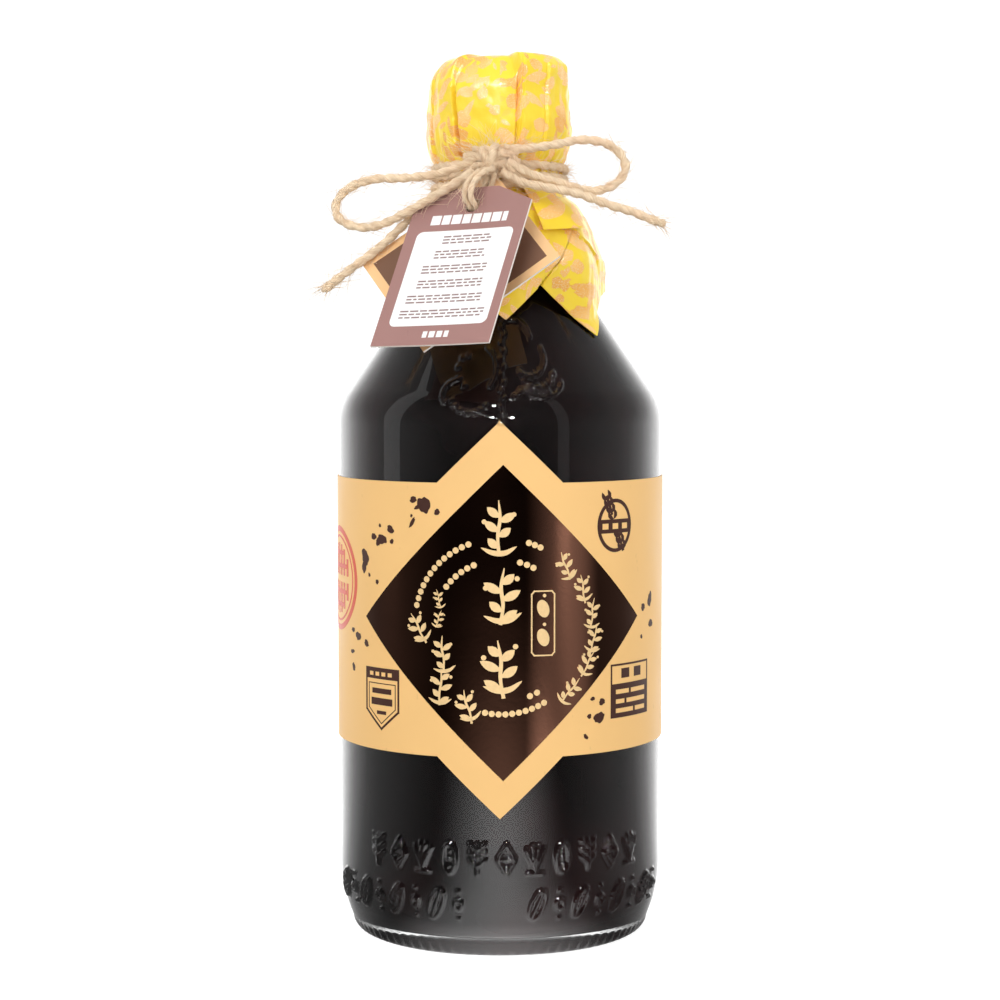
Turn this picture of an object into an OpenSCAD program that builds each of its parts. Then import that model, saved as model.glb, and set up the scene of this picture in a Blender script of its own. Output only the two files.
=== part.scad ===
// Bottle of soy sauce: clear glass, a wrap-round paper label with a diamond front, a gathered
// yellow paper hood over the mouth, a jute bow round the neck and two hanging cards.
// The bottle stands on z = 0 and its axis is Z. Its front faces -Y. Millimetres throughout.

/* [Glass] */
// Outer radius of the body
body_r = 38; // [34:0.5:48]
// Radius of the ring that the bottle stands on
foot_r = 33.5; // [28:0.5:33.5]
// Height at which the rounded heel meets the straight body
heel_h = 17; // [10:1:22]
// Height of the straight body, up to the start of the shoulder
shoulder_z = 119; // [116:1:150]
// Radius of the bend from the body into the shoulder
shoulder_bend = 14; // [10:1:18]
// Angle between the sloping shoulder and the axis
shoulder_angle = 34.5; // [30:0.5:42]
// Outer radius of the neck
neck_r = 13.5; // [11:0.5:17]
// Radius of the bend from the shoulder into the neck
neck_bend = 14; // [8:1:18]
// Length of the straight neck
neck_len = 32.5; // [30:0.5:40]
// Thickness of the body's wall
wall = 3; // [2:0.25:3.5]
// Thickness of the neck's wall
neck_wall = 3.8; // [3:0.1:4.5]
// Thickness of the floor above the hollow under the base
floor_t = 5; // [3:0.5:7]
// Height of the hollow under the base
punt_h = 4; // [2:0.5:6]
// Width of the ring that the bottle stands on
foot_w = 3; // [2:0.5:4]

/* [Sauce] */
// Level of the sauce above the foot of the straight neck
level_up = 5; // [2:0.5:12]
// Gap between the sauce and the glass
sauce_gap = 0.1; // [0.05:0.05:0.2]

/* [Label] */
// Height of the label's lower edge
label_z = 45.8; // [40:0.2:50]
// Height of the label's straight band
label_h = 61; // [50:1:66]
// Half of the label diamond's height
label_tip = 44.15; // [38:0.05:45]
// Thickness of the label's paper
label_t = 0.2; // [0.2:0.05:0.4]
// Gap between the label and the glass
label_gap = 0.05; // [0.05:0.05:0.1]

/* [Paper hood] */
// Thickness of the gathered paper
paper_t = 0.8; // [0.6:0.1:1]
// Gap between the paper and the glass
paper_gap = 0.35; // [0.3:0.05:0.5]
// Largest radius of the head over the mouth
head_r = 16.5; // [16.5:0.5:20]
// Height of the head above the mouth
head_up = 8.7; // [6:0.1:12]
// Depth of the pleats in the head
pleat = 0.5; // [0:0.1:0.8]
// Depth of the waves in the skirt
wave = 0.7; // [0:0.1:1]

/* [Twine] */
// Diameter of the jute twine
twine_d = 2.1; // [1.8:0.1:2.3]
// Number of turns round the neck
turns = 3; // [2:1:3]
// Height of the middle turn above the foot of the straight neck
tie_up = 12.7; // [11:0.1:14]
// Radius of the bow's knot
knot_r = 2.7; // [2.4:0.1:2.9]
// Diameter of the string that holds the hang tag
string_d = 1.4; // [1.2:0.05:1.45]

/* [Cards] */
// Thickness of the card
card_t = 0.5; // [0.3:0.1:0.7]
// Width of the hang tag
tag_w = 30.4; // [28:0.2:33]
// Height of the hang tag
tag_h = 41.5; // [40:0.5:43]
// Width and height of the cuts at the hang tag's top corners
tag_cut = [9.7, 4.5];
// Radius of the hang tag's hole
hole_r = 1.8; // [1.7:0.1:2.2]
// Distance from the hang tag's top to its hole
hole_down = 4.9; // [4:0.1:6]
// Sides of the diamond card
diamond = [36.4, 31.9];

/* [Hidden] */
$fn = 96;

// The shoulder is a bend, a straight slope and a second bend into the neck.
slope_top = [body_r - shoulder_bend + shoulder_bend * cos(shoulder_angle),
             shoulder_z + shoulder_bend * sin(shoulder_angle)];
slope_l = (slope_top[0] - neck_r - neck_bend * (1 - cos(shoulder_angle))) / sin(shoulder_angle);
neck_z = slope_top[1] + slope_l * cos(shoulder_angle) + neck_bend * sin(shoulder_angle);
mouth_z = neck_z + neck_len;
heel_in = body_r - foot_r;
heel_bend = (heel_in * heel_in + heel_h * heel_h) / (2 * heel_in);
floor_z = punt_h + floor_t;
arc_steps = 10;

// The tie, the knot in front of it and the waist of the paper under it.
tie_z = neck_z + tie_up;
tie_pitch = twine_d + 0.1;
waist_r = neck_r + paper_gap + 0.95;
tie_r = waist_r + twine_d / 2 + 0.1;
knot = [-1.6, -(tie_r + twine_d / 2 + knot_r + 0.2), tie_z + 2.9];

// Cards: where the hang tag's foot and the diamond's middle lie from the knot, and their turns.
card_lean = -32;
tag_place = [-13.6, -25.3, -41.9];
tag_turn = -32;
tag_spin = -2;
diamond_place = [-7.4, -8.9, -23.1];
diamond_turn = -24;
diamond_spin = -42.5;

// Outline of the paper's hem: azimuth from the front and the drop below the tie.
HEM = [[3, 33.3], [23, 25.2], [53, 36.8], [80, 28], [110, 24], [140, 28], [165, 36], [190, 28],
       [215, 24.5], [240, 29], [262, 35.5], [285, 28], [318, 25], [345, 27], [363, 33.3]];
// Side of the skirt: drop below the tie and radius beyond the neck.
FLARE = [[0, 1.3], [3.4, 1.3], [6, 4.3], [12, 7.7], [19, 9.9], [24, 10.4], [31, 11.1], [60, 14]];
paper_seg = 72;
skirt_rows = 7;

// Routes of the twine, as offsets from the middle of the knot.
BOW_LEFT = [[-3.2, 0.3, 0.5], [-6.9, 0.3, -1.2], [-11.4, 0.7, -2.9], [-16.4, 1.4, -3.7],
            [-21.4, 2.4, -4], [-25.9, 3.4, -4], [-30, 4.4, -4.8], [-33.6, 4.9, -6.6],
            [-35.8, 4.9, -9.6], [-35.2, 4.4, -12.8], [-32, 3.4, -14.7], [-27.9, 2.4, -15],
            [-23.4, 0.4, -13.8], [-18.9, -1.5, -11.6], [-14.9, -3, -9.4], [-11.1, -3.7, -7.2],
            [-7.2, -3.3, -4.7], [-4.6, -2.2, -2.9]];
BOW_RIGHT = [[2.4, 0, 2.6], [6.2, 0.1, 2.4], [10.4, 0.8, 2.9], [14.4, 1.9, 3.6], [18.4, 2.9, 4.5],
             [22.2, 3.9, 4.7], [26, 4.6, 3.9], [29, 4.9, 1.7], [30.2, 4.9, -1.3],
             [28.9, 4.7, -4.2], [25.8, 4, -6.2], [22, 3, -6.8], [18, 1.7, -6], [14, 0.6, -4.8],
             [10, -0.4, -3.8], [6.2, -1.1, -2.2], [3.1, -1.1, -0.4]];
END_LEFT = [[-2.1, 1.5, -2.2], [-6.5, 2.1, -4.4], [-11, 2.3, -7], [-15.2, 2.2, -9.9],
            [-18, 1.7, -12.5], [-20.4, 0.6, -14.8], [-22.8, -0.2, -17.2], [-26.4, -0.7, -20.4],
            [-30.3, -1.1, -23.3], [-34.2, -2.1, -26.3], [-38.4, -3.6, -29.7]];
END_RIGHT = [[2.1, -0.9, -2.6], [6, -1.9, -5], [10.4, -1.8, -6.1], [14.8, -1.3, -6.8],
             [19, -0.5, -7.6], [23.2, 0.3, -9], [27.4, 1.1, -10.4], [31.6, 1.6, -11.6],
             [35.8, 1.8, -13.3], [39.2, 1.9, -14.4]];
STRING = [[-0.6, -2.6, -2.2], [-2.8, -5.7, -3.3], [-4.9, -9, -5.7], [-5.6, -10.1, -8.5],
          [-4.9, -9.1, -10.3], [-3.9, -7.3, -11.5], [-2.9, -5.7, -10.5], [-1.6, -3.8, -7.9],
          [-0.9, -1.6, -5.2], [-0.3, -0.3, -3.3]];
string_apart = 0.78;

// Points on an arc about c, from angle a to angle b.
function arc(c, r, a, b, n = arc_steps) =
    [for (i = [0 : n]) let (t = a + (b - a) * i / n) [c[0] + r * cos(t), c[1] + r * sin(t)]];

// The side of the glass from the shoulder to the neck, moved inwards by o.
function shoulder(o) = concat(
    arc([body_r - shoulder_bend, shoulder_z], shoulder_bend - o, 0, shoulder_angle),
    arc([neck_r + neck_bend, neck_z], neck_bend + o, 180 + shoulder_angle, 180));

// The heel of the glass, moved inwards by o, from height z up.
function heel(o, z) = let (c = [body_r - heel_bend, heel_h], r = heel_bend - o)
    arc(c, r, asin((z - heel_h) / r), 0);

// The room inside the glass, made smaller by g, up to height z.
function room(g, z) = concat(
    [[0, floor_z + g], [foot_r - wall - 5, floor_z - 1 + g]],
    [[foot_r - wall - g, floor_z + 0.5 + g]],
    heel(wall + g, floor_z + 3),
    shoulder(wall + g),
    [[neck_r - neck_wall - g, neck_z + 2], [neck_r - neck_wall - g, z], [0, z]]);

// Radius of the glass at height z, above the shoulder's first bend.
function glass_r(z) =
    z < neck_z - neck_bend * sin(shoulder_angle)
    ? slope_top[0] - (z - slope_top[1]) * tan(shoulder_angle)
    : z < neck_z ? neck_r + neck_bend - sqrt(pow(neck_bend, 2) - pow(neck_z - z, 2)) : neck_r;

module bottle() color([0.75, 0.8, 0.78, 0.4])
    rotate_extrude() difference() {
        polygon(concat(
            [[0, punt_h]], arc([foot_r - foot_w - 6, 0], 6, 60, 0, 4),
            [[foot_r - 0.6, 0]], heel(0, 0.7), shoulder(0),
            [[neck_r, mouth_z], [0, mouth_z]]));
        polygon(room(0, mouth_z + 1));
    }

module sauce() color([0.06, 0.03, 0.03])
    rotate_extrude() polygon(room(sauce_gap, neck_z + level_up));

module label() color([0.98, 0.82, 0.57])
    intersection() {
        difference() {
            cylinder(h = shoulder_z, r = body_r + label_gap + label_t);
            translate([0, 0, -1]) cylinder(h = shoulder_z + 2, r = body_r + label_gap);
        }
        union() {
            translate([-body_r - 5, -body_r - 5, label_z])
                cube([2 * body_r + 10, 2 * body_r + 10, label_h]);
            translate([0, 0, label_z + label_h / 2])
                rotate([90, 0, 0])
                    linear_extrude(body_r + 5)
                        polygon([[0, label_tip], [label_tip, 0], [0, -label_tip], [-label_tip, 0]]);
        }
    }

// Radius of the skirt's outer face at a drop d below the tie, for azimuth t.
function skirt_r(d, t) = max(
    neck_r + lookup(d, FLARE) + wave * min(1, max(0, d - 6) / 8) * cos(7 * t),
    glass_r(tie_z - d) + paper_gap + paper_t + 0.1);

// Radius of the head at height z above the mouth's foot, pleated round the sides.
function head_pleat(r, t, k) = r - k * pleat * pow(abs(sin(3.5 * t + 20)), 8);

// Each row of the paper's skin is [radius, height] for azimuth t: down the outside, up the inside.
waist_top = tie_z + tie_pitch + twine_d / 2 + 0.3;
head_z = mouth_z + head_up;
HEAD = [[6, head_z - 0.2, 0], [10.5, head_z, 0.3], [head_r - 3.1, head_z - 0.6, 0.6],
        [head_r - 1.4, head_z - 2.6, 1], [head_r - 0.5, head_z - 6, 1],
        [head_r - 0.1, head_z - 12, 1], [head_r, head_z - 18, 0.8],
        [head_r - 0.6, waist_top + 2.6, 0.5], [waist_r, waist_top, 0]];
bore_r = neck_r + paper_gap;
function skirt_row(f, t, o) =
    let (d = 3.4 + f * (lookup(t, HEM) - 3.4)) [max(bore_r, skirt_r(d, t) - o), tie_z - d];
function skin(t) = concat(
    [for (h = HEAD) [head_pleat(h[0], t, h[2]), h[1]]],
    [for (i = [0 : skirt_rows]) skirt_row(i / skirt_rows, t, 0)],
    [for (i = [0 : skirt_rows]) skirt_row(1 - i / skirt_rows, t, paper_t)],
    [[bore_r, mouth_z + paper_gap]]);

// Triangles between rings of n points, closed by a fan at both ends.
function ring_faces(rings, n) = [for (i = [0 : rings - 2]) for (j = [0 : n - 1])
    let (a = i * n + j, b = i * n + (j + 1) % n)
        for (f = [[a, b, a + n], [b, b + n, a + n]]) f];

module wrap() color([1, 0.82, 0.13]) {
    at = [for (j = [0 : paper_seg - 1]) let (t = 3 + 360 * j / paper_seg) [t, skin(t)]];
    rings = len(at[0][1]);
    points = concat(
        [for (i = [0 : rings - 1]) for (p = at)
            [p[1][i][0] * sin(p[0]), -p[1][i][0] * cos(p[0]), p[1][i][1]]],
        [[0, 0, head_z - 0.5], [0, 0, mouth_z + paper_gap]]);
    last = rings * paper_seg;
    top = [for (j = [0 : paper_seg - 1]) [last, (j + 1) % paper_seg, j]];
    end = [for (j = [0 : paper_seg - 1])
        [last + 1, last - paper_seg + j, last - paper_seg + (j + 1) % paper_seg]];
    polyhedron(points, concat(top, ring_faces(rings, paper_seg), end));
}

module twine_tie() color([0.84, 0.71, 0.5])
    for (i = [0 : turns - 1])
        translate([0, 0, tie_z + (i - 1) * tie_pitch])
            rotate_extrude() translate([tie_r, 0]) circle(d = twine_d, $fn = 24);

module twine_knot() color([0.8, 0.67, 0.47])
    translate(knot) sphere(r = knot_r, $fn = 40);

function unit(v) = v / norm(v);

// A tube along points p, each moved by m. Side 0 of every ring lies square to ref.
module tube(p, d, m, ref, sides = 8) {
    n = len(p);
    way = [for (i = [0 : n - 1]) unit(p[min(i + 1, n - 1)] - p[max(i - 1, 0)])];
    points = [for (i = [0 : n - 1]) let (u = unit(cross(way[i], ref)), v = cross(u, way[i]))
        for (k = [0 : sides - 1])
            m + p[i] + d / 2 * (u * cos(360 * k / sides) + v * sin(360 * k / sides))];
    start = [[for (k = [0 : sides - 1]) sides - 1 - k]];
    finish = [[for (k = [0 : sides - 1]) (n - 1) * sides + k]];
    polyhedron(points, concat(start, ring_faces(n, sides), finish));
}

module bow_loop_left() color([0.86, 0.73, 0.53]) tube(BOW_LEFT, twine_d, knot, [0, 1, 0]);
module bow_loop_right() color([0.86, 0.73, 0.53]) tube(BOW_RIGHT, twine_d, knot, [0, 1, 0]);
module twine_end_left() color([0.86, 0.73, 0.53]) tube(END_LEFT, twine_d, knot, [0, 1, 0]);
module twine_end_right() color([0.86, 0.73, 0.53]) tube(END_RIGHT, twine_d, knot, [0, 1, 0]);

// The two strings lie side by side in the hole, along the hang tag's width.
module tag_string(side) color([0.86, 0.73, 0.53])
    let (across = [cos(tag_turn), sin(tag_turn), 0])
        tube(STRING, string_d, knot + side * string_apart * across, across);
module tag_string_left() tag_string(-1);
module tag_string_right() tag_string(1);

// Stands a flat card up, leaning back by card_lean, and puts its origin at place from the knot.
module stand(place, turn, spin)
    translate(knot + place)
        rotate([0, 0, turn]) rotate([card_lean, 0, 0]) rotate([90, spin, 0])
            translate([0, 0, -card_t / 2]) linear_extrude(card_t) children();

module hang_tag() color([0.7, 0.53, 0.5])
    stand(tag_place, tag_turn, tag_spin)
        difference() {
            polygon([[-tag_w / 2, 0], [tag_w / 2, 0], [tag_w / 2, tag_h - tag_cut[1]],
                     [tag_w / 2 - tag_cut[0], tag_h], [tag_cut[0] - tag_w / 2, tag_h],
                     [-tag_w / 2, tag_h - tag_cut[1]]]);
            translate([0, tag_h - hole_down]) circle(r = hole_r);
        }

module diamond_tag() color([0.98, 0.8, 0.6])
    stand(diamond_place, diamond_turn, diamond_spin) square(diamond, center = true);

bottle();
sauce();
label();
wrap();
twine_tie();
twine_knot();
bow_loop_left();
bow_loop_right();
twine_end_left();
twine_end_right();
tag_string_left();
tag_string_right();
hang_tag();
diamond_tag();
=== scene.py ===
"""Looks of a bottle of soy sauce: glass with pressed ornaments, dark sauce, a printed wrap-round
label, a gathered paper hood, a jute bow and two hanging cards.

Shapes are worked out in millimetres, round the bottle's axis, and go into the meshes in metres.
Azimuth is measured from the front of the label (-Y) towards +X."""

from math import pi, radians

import bpy
import numpy as np
from bpy.props import FloatProperty, FloatVectorProperty, IntProperty, PointerProperty
from mathutils import Matrix, Vector


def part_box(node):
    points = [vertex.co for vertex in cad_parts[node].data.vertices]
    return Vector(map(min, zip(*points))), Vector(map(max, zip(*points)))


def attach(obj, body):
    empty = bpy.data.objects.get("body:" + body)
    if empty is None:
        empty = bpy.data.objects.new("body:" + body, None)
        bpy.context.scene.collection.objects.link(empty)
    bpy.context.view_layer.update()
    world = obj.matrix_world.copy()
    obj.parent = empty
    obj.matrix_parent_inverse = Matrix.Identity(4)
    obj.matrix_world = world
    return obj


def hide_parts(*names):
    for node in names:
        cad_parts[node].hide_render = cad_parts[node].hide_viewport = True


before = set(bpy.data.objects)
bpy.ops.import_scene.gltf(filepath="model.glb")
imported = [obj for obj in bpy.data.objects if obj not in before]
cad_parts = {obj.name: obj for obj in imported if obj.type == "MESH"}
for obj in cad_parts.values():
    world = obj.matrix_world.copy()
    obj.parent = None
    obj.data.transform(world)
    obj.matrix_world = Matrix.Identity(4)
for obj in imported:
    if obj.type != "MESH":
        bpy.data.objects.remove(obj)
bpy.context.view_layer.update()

bl_info = {
    "name": "Soy Sauce Bottle",
    "version": (1, 0, 0),
    "blender": (4, 5, 0),
    "location": "View3D > Sidebar > Bottle",
    "description": "Builds a wrapped bottle of soy sauce round its construction model",
    "category": "Add Mesh",
}

MM = 0.001
BODY = "root"
SEED = 7


def node_middle(name):
    """Middle of a construction node's box, in millimetres."""
    low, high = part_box(name)
    return (np.array(low) + np.array(high)) / 2 / MM


KNOT = node_middle("twine_knot")
TIE_Z = node_middle("twine_tie")[2]
TIE_R = 15.15
TAG_TURN = radians(-32)
# Place across the front, in metres, of the painted reflection on the dark diamond.
PAINTED_SHEEN_X = 0.0138
GLASS_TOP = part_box("bottle")[1][2] / MM
HEAD_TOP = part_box("wrap")[1][2] / MM


# ---------------------------------------------------------------- settings


def length(name, text, default):
    """A size in metres that the sidebar shows with its unit."""
    return FloatProperty(name=name, description=text, default=default, min=0, precision=5,
                         subtype="DISTANCE", unit="LENGTH")


def colour(name, text, default):
    """A linear colour with a colour picker."""
    return FloatVectorProperty(name=name, description=text, default=default, min=0, max=1,
                               size=3, subtype="COLOR")


class GlassSettings(bpy.types.PropertyGroup):
    body_radius: length("Body radius", "Outer radius of the body", 0.038)
    foot_radius: length("Foot radius", "Outer radius of the foot", 0.0335)
    heel_height: length("Heel height", "Height of the rounded heel", 0.017)
    shoulder_height: length("Shoulder height", "Height of the straight body", 0.119)
    shoulder_bend: length("Shoulder bend", "Radius of the bend into the shoulder", 0.014)
    shoulder_angle: FloatProperty(name="Shoulder angle", default=radians(34.5), subtype="ANGLE",
                                  description="Angle between the shoulder and the axis")
    neck_radius: length("Neck radius", "Outer radius of the neck", 0.0135)
    neck_bend: length("Neck bend", "Radius of the bend into the neck", 0.014)
    neck_length: length("Neck length", "Length of the straight neck", 0.0325)
    wall: length("Wall", "Thickness of the body's wall", 0.003)
    neck_wall: length("Neck wall", "Thickness of the neck's wall", 0.0038)
    floor: length("Floor", "Thickness of the floor", 0.002)
    punt: length("Punt", "Height of the hollow under the base", 0.004)
    relief: length("Relief", "Height of the pressed ornaments", 0.0008)
    columns: IntProperty(name="Columns", default=392, min=64,
                         description="Number of columns round the glass")
    sauce_rise: length("Sauce rise", "Level of the sauce above the neck's foot", 0.005)
    sauce_bite: length("Sauce bite", "Depth by which the sauce reaches into the wall", 0.00015)
    sauce: colour("Sauce", "Colour of the sauce", (0.006, 0.0022, 0.0022))


class LabelSettings(bpy.types.PropertyGroup):
    foot: length("Lower edge", "Height of the band's lower edge", 0.0458)
    band: length("Band", "Height of the band", 0.061)
    tip: length("Tip", "Half of the diamond's height", 0.04415)
    reach: length("Reach", "Half of the diamond's width", 0.046)
    paper: length("Paper", "Thickness of the paper", 0.0002)
    gap: length("Gap", "Gap between the paper and the glass", 0.00005)
    ink: length("Ink", "Thickness of the printed layers", 0.00004)
    cream: colour("Cream", "Colour of the paper", (0.865, 0.535, 0.21))
    dark: colour("Dark", "Colour of the glossy diamond", (0.06, 0.027, 0.0175))
    brown: colour("Brown", "Colour of the small print", (0.06, 0.021, 0.014))
    red: colour("Red", "Colour of the round seal", (0.66, 0.10, 0.055))
    foil: colour("Foil", "Colour of the print on the diamond", (0.86, 0.60, 0.29))


class HoodSettings(bpy.types.PropertyGroup):
    paper: length("Paper", "Thickness of the paper at its hem", 0.00028)
    waist: length("Waist", "Radius of the paper under the twine", 0.01405)
    columns: IntProperty(name="Columns", default=560, min=90,
                         description="Number of columns round the hood")
    yellow: colour("Yellow", "Colour of the paper", (0.95, 0.69, 0.05))
    gold: colour("Gold", "Colour of the printed leaves", (0.90, 0.44, 0.075))


class TwineSettings(bpy.types.PropertyGroup):
    diameter: length("Twine", "Diameter of the jute twine", 0.0021)
    string: length("String", "Diameter of the hang tag's string", 0.0014)
    twist: length("Twist", "Length of one turn of the twist", 0.0062)
    string_gap: length("String gap", "Distance of each string from the middle", 0.00078)
    fuzz: IntProperty(name="Fuzz", default=38, min=0,
                      description="Loose fibres for each centimetre of twine")
    jute: colour("Jute", "Colour of the fibres", (1.0, 0.66, 0.38))


class CardSettings(bpy.types.PropertyGroup):
    thickness: length("Card", "Thickness of the card", 0.0005)
    tag_width: length("Tag width", "Width of the hang tag", 0.0304)
    tag_height: length("Tag height", "Height of the hang tag", 0.0415)
    cut_width: length("Cut width", "Width of the cut corners", 0.0097)
    cut_height: length("Cut height", "Height of the cut corners", 0.0045)
    hole: length("Hole", "Radius of the hole", 0.0018)
    hole_down: length("Hole below the top", "Distance from the top to the hole", 0.0049)
    diamond_width: length("Diamond width", "First side of the diamond card", 0.0364)
    diamond_height: length("Diamond height", "Second side of the diamond card", 0.0319)
    lean: FloatProperty(name="Lean", default=radians(-32), subtype="ANGLE",
                        description="How far both cards lean back")
    mauve: colour("Mauve", "Colour of the hang tag", (0.355, 0.19, 0.17))
    panel: colour("Panel", "Colour of the hang tag's panel", (0.88, 0.87, 0.86))
    print_grey: colour("Print", "Colour of the lines on the panel", (0.30, 0.20, 0.19))
    tan: colour("Tan", "Colour of the diamond card's border", (0.90, 0.56, 0.27))
    field: colour("Field", "Colour of the diamond card's middle", (0.20, 0.10, 0.06))


class StageSettings(bpy.types.PropertyGroup):
    camera_distance: length("Distance", "Distance of the camera from the axis", 0.5525)
    camera_height: length("Camera height", "Height of the camera", 0.136)
    aim_height: length("Aim height", "Height of the point in the middle of the view", 0.1007)
    lens: FloatProperty(name="Lens", default=84.35, subtype="DISTANCE_CAMERA", unit="CAMERA",
                        description="Focal length for a 36 mm sensor")
    floor_size: length("Floor", "Side of the square floor", 3.0)


class BottleSettings(bpy.types.PropertyGroup):
    glass: PointerProperty(name="Glass", description="Sizes of the glass", type=GlassSettings)
    label: PointerProperty(name="Label", description="Sizes of the label", type=LabelSettings)
    hood: PointerProperty(name="Hood", description="Sizes of the hood", type=HoodSettings)
    twine: PointerProperty(name="Twine", description="Sizes of the twine", type=TwineSettings)
    cards: PointerProperty(name="Cards", description="Sizes of the cards", type=CardSettings)
    stage: PointerProperty(name="Stage", description="Camera and floor", type=StageSettings)


# ---------------------------------------------------------------- mesh tools


def grid_quads(rows, cols, wrap):
    """Quads (i, j), (i, j+1), (i+1, j+1), (i+1, j) of a grid, whose last column joins the first
    when wrap is true. They face along (column direction) x (row direction)."""
    i = np.arange(rows - 1)[:, None] * cols
    j = np.arange(cols if wrap else cols - 1)[None, :]
    k = (j + 1) % cols
    return np.stack(np.broadcast_arrays(i + j, i + k, i + cols + k, i + cols + j), -1).reshape(-1, 4)


def skin(points, start=None, end=None):
    """A surface closed round its columns, from points[row, column, xyz]. A start or end point
    closes that end with a fan, which makes it a closed solid."""
    rows, cols = points.shape[:2]
    verts = points.reshape(-1, 3)
    faces = grid_quads(rows, cols, True).tolist()
    j = np.arange(cols)
    k = (j + 1) % cols
    if start is not None:
        faces += np.stack([np.full(cols, len(verts)), k, j], -1).tolist()
        verts = np.vstack([verts, start])
    if end is not None:
        last = (rows - 1) * cols
        faces += np.stack([last + j, last + k, np.full(cols, len(verts))], -1).tolist()
        verts = np.vstack([verts, end])
    return verts, faces


def slab(u, v, place, low, high, loop=False):
    """A thin closed solid over a patch: place(u, v, height) at heights low and high, with walls
    round the edge. When loop is true the patch is a ring whose last column meets its first."""
    rows, cols = u.shape
    quads = grid_quads(rows, cols, loop)
    a, b, c = (np.stack([u.ravel()[quads[:, k]], v.ravel()[quads[:, k]]], -1) for k in (0, 1, 2))
    area = (b - a)[:, 0] * (c - a)[:, 1] - (b - a)[:, 1] * (c - a)[:, 0]
    if area.sum() < 0:
        u, v = u[:, ::-1], v[:, ::-1]
    count = rows * cols
    verts = np.vstack([place(u, v, high).reshape(-1, 3), place(u, v, low).reshape(-1, 3)])
    if loop:
        j = np.arange(cols)
        k = (j + 1) % cols
        edges = np.vstack([np.stack([j, k], -1), count - cols + np.stack([k, j], -1)])
    else:
        rim = np.concatenate([np.arange(cols), np.arange(2, rows + 1) * cols - 1,
                              count - 2 - np.arange(cols - 1),
                              np.arange(rows - 2, 0, -1) * cols])
        edges = np.stack([rim, np.roll(rim, -1)], -1)
    walls = np.stack([edges[:, 1], edges[:, 0], edges[:, 0] + count, edges[:, 1] + count], -1)
    return verts, np.vstack([quads, quads[:, ::-1] + count, walls]).tolist()


def join(parts):
    """Several (vertices, faces) pairs as one."""
    verts, faces, start = [], [], 0
    for points, polygons in parts:
        verts.append(points)
        faces += [[k + start for k in face] for face in polygons]
        start += len(points)
    return np.vstack(verts), faces


def piece(name, solid, materials, stands_for=(), uv=None, period=None, crease=None):
    """Makes a mesh object from a (vertices, faces) pair in millimetres. uv holds one pair for
    each vertex; a face that crosses the end of the period in u is carried over it."""
    verts, faces = solid
    mesh = bpy.data.meshes.new(name)
    mesh.from_pydata((np.asarray(verts) * MM).tolist(), [], faces)
    mesh.polygons.foreach_set("use_smooth", np.ones(len(faces), bool))
    if uv is not None:
        layer = mesh.uv_layers.new(name="UVMap")
        corner = np.zeros(len(mesh.loops), np.int32)
        mesh.loops.foreach_get("vertex_index", corner)
        pairs = np.array(uv, float)[corner]
        if period is not None:
            sizes = np.array([len(f) for f in faces])
            highest = np.maximum.reduceat(pairs[:, 0], np.cumsum(sizes) - sizes)
            low = np.repeat(highest, sizes) - pairs[:, 0] > period / 2
            pairs[low, 0] += period
        layer.data.foreach_set("uv", (pairs * MM).astype(np.float32).ravel())
    for material in materials:
        mesh.materials.append(material)
    mesh.update()
    if crease is not None:
        mesh.set_sharp_from_angle(angle=radians(crease))
    made = bpy.data.objects.new(name, mesh)
    bpy.context.scene.collection.objects.link(made)
    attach(made, BODY)
    if stands_for:
        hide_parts(*stands_for)
    return made


def smoothstep(low, high, x):
    """0 below low, 1 above high and an even S-curve between them."""
    t = np.clip((x - low) / (high - low), 0, 1)
    return t * t * (3 - 2 * t)


def curve_points(points, count):
    """A smooth curve through the points (Catmull-Rom), with count points evenly spaced on it."""
    p = np.asarray(points, float)
    p = np.vstack([2 * p[0] - p[1], p, 2 * p[-1] - p[-2]])
    t = np.linspace(0, len(p) - 3 - 1e-9, 60 * (len(p) - 3) + 1)
    i = t.astype(int)
    f = (t - i)[:, None]
    a, b, c, d = (p[i + k] for k in range(4))
    fine = 0.5 * (2 * b + (c - a) * f + (2 * a - 5 * b + 4 * c - d) * f ** 2
                  + (3 * b - a - 3 * c + d) * f ** 3)
    run = np.concatenate([[0], np.cumsum(np.linalg.norm(np.diff(fine, axis=0), axis=1))])
    even = np.linspace(0, run[-1], count)
    return np.stack([np.interp(even, run, fine[:, k]) for k in range(p.shape[1])], -1)


def around(radius, azimuth, height):
    """The point at this radius, azimuth in radians and height."""
    return np.stack(np.broadcast_arrays(radius * np.sin(azimuth), -radius * np.cos(azimuth),
                                        height), -1)


# ---------------------------------------------------------------- shader tools


def settle(tree, made, values):
    """Sets a node's inputs, or links them where the value is another node's socket."""
    for key, value in values.items():
        if isinstance(value, bpy.types.NodeSocket):
            tree.links.new(value, made.inputs[key])
        else:
            made.inputs[key].default_value = value


def node(tree, kind, values=None, **settings):
    """Adds a node with its settings and the values or links of its inputs."""
    made = tree.nodes.new(kind)
    for key, value in settings.items():
        setattr(made, key, value)
    settle(tree, made, values or {})
    return made


def maths(tree, operation, a, b=0.0):
    """One sum on numbers."""
    return node(tree, "ShaderNodeMath", {0: a, 1: b}, operation=operation).outputs[0]


def times(tree, a, b):
    return maths(tree, "MULTIPLY", a, b)


def vector_maths(tree, operation, a, b):
    """One sum on vectors."""
    return node(tree, "ShaderNodeVectorMath", {0: a, 1: b}, operation=operation).outputs[0]


def split(tree, vector):
    """The X, Y and Z of a vector."""
    return node(tree, "ShaderNodeSeparateXYZ", {0: vector}).outputs


def span(tree, value, low, high, to_low=0.0, to_high=1.0):
    """Carries low..high over to to_low..to_high on an S-curve."""
    return node(tree, "ShaderNodeMapRange", {0: value, 1: low, 2: high, 3: to_low, 4: to_high},
                interpolation_type="SMOOTHSTEP").outputs[0]


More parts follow.
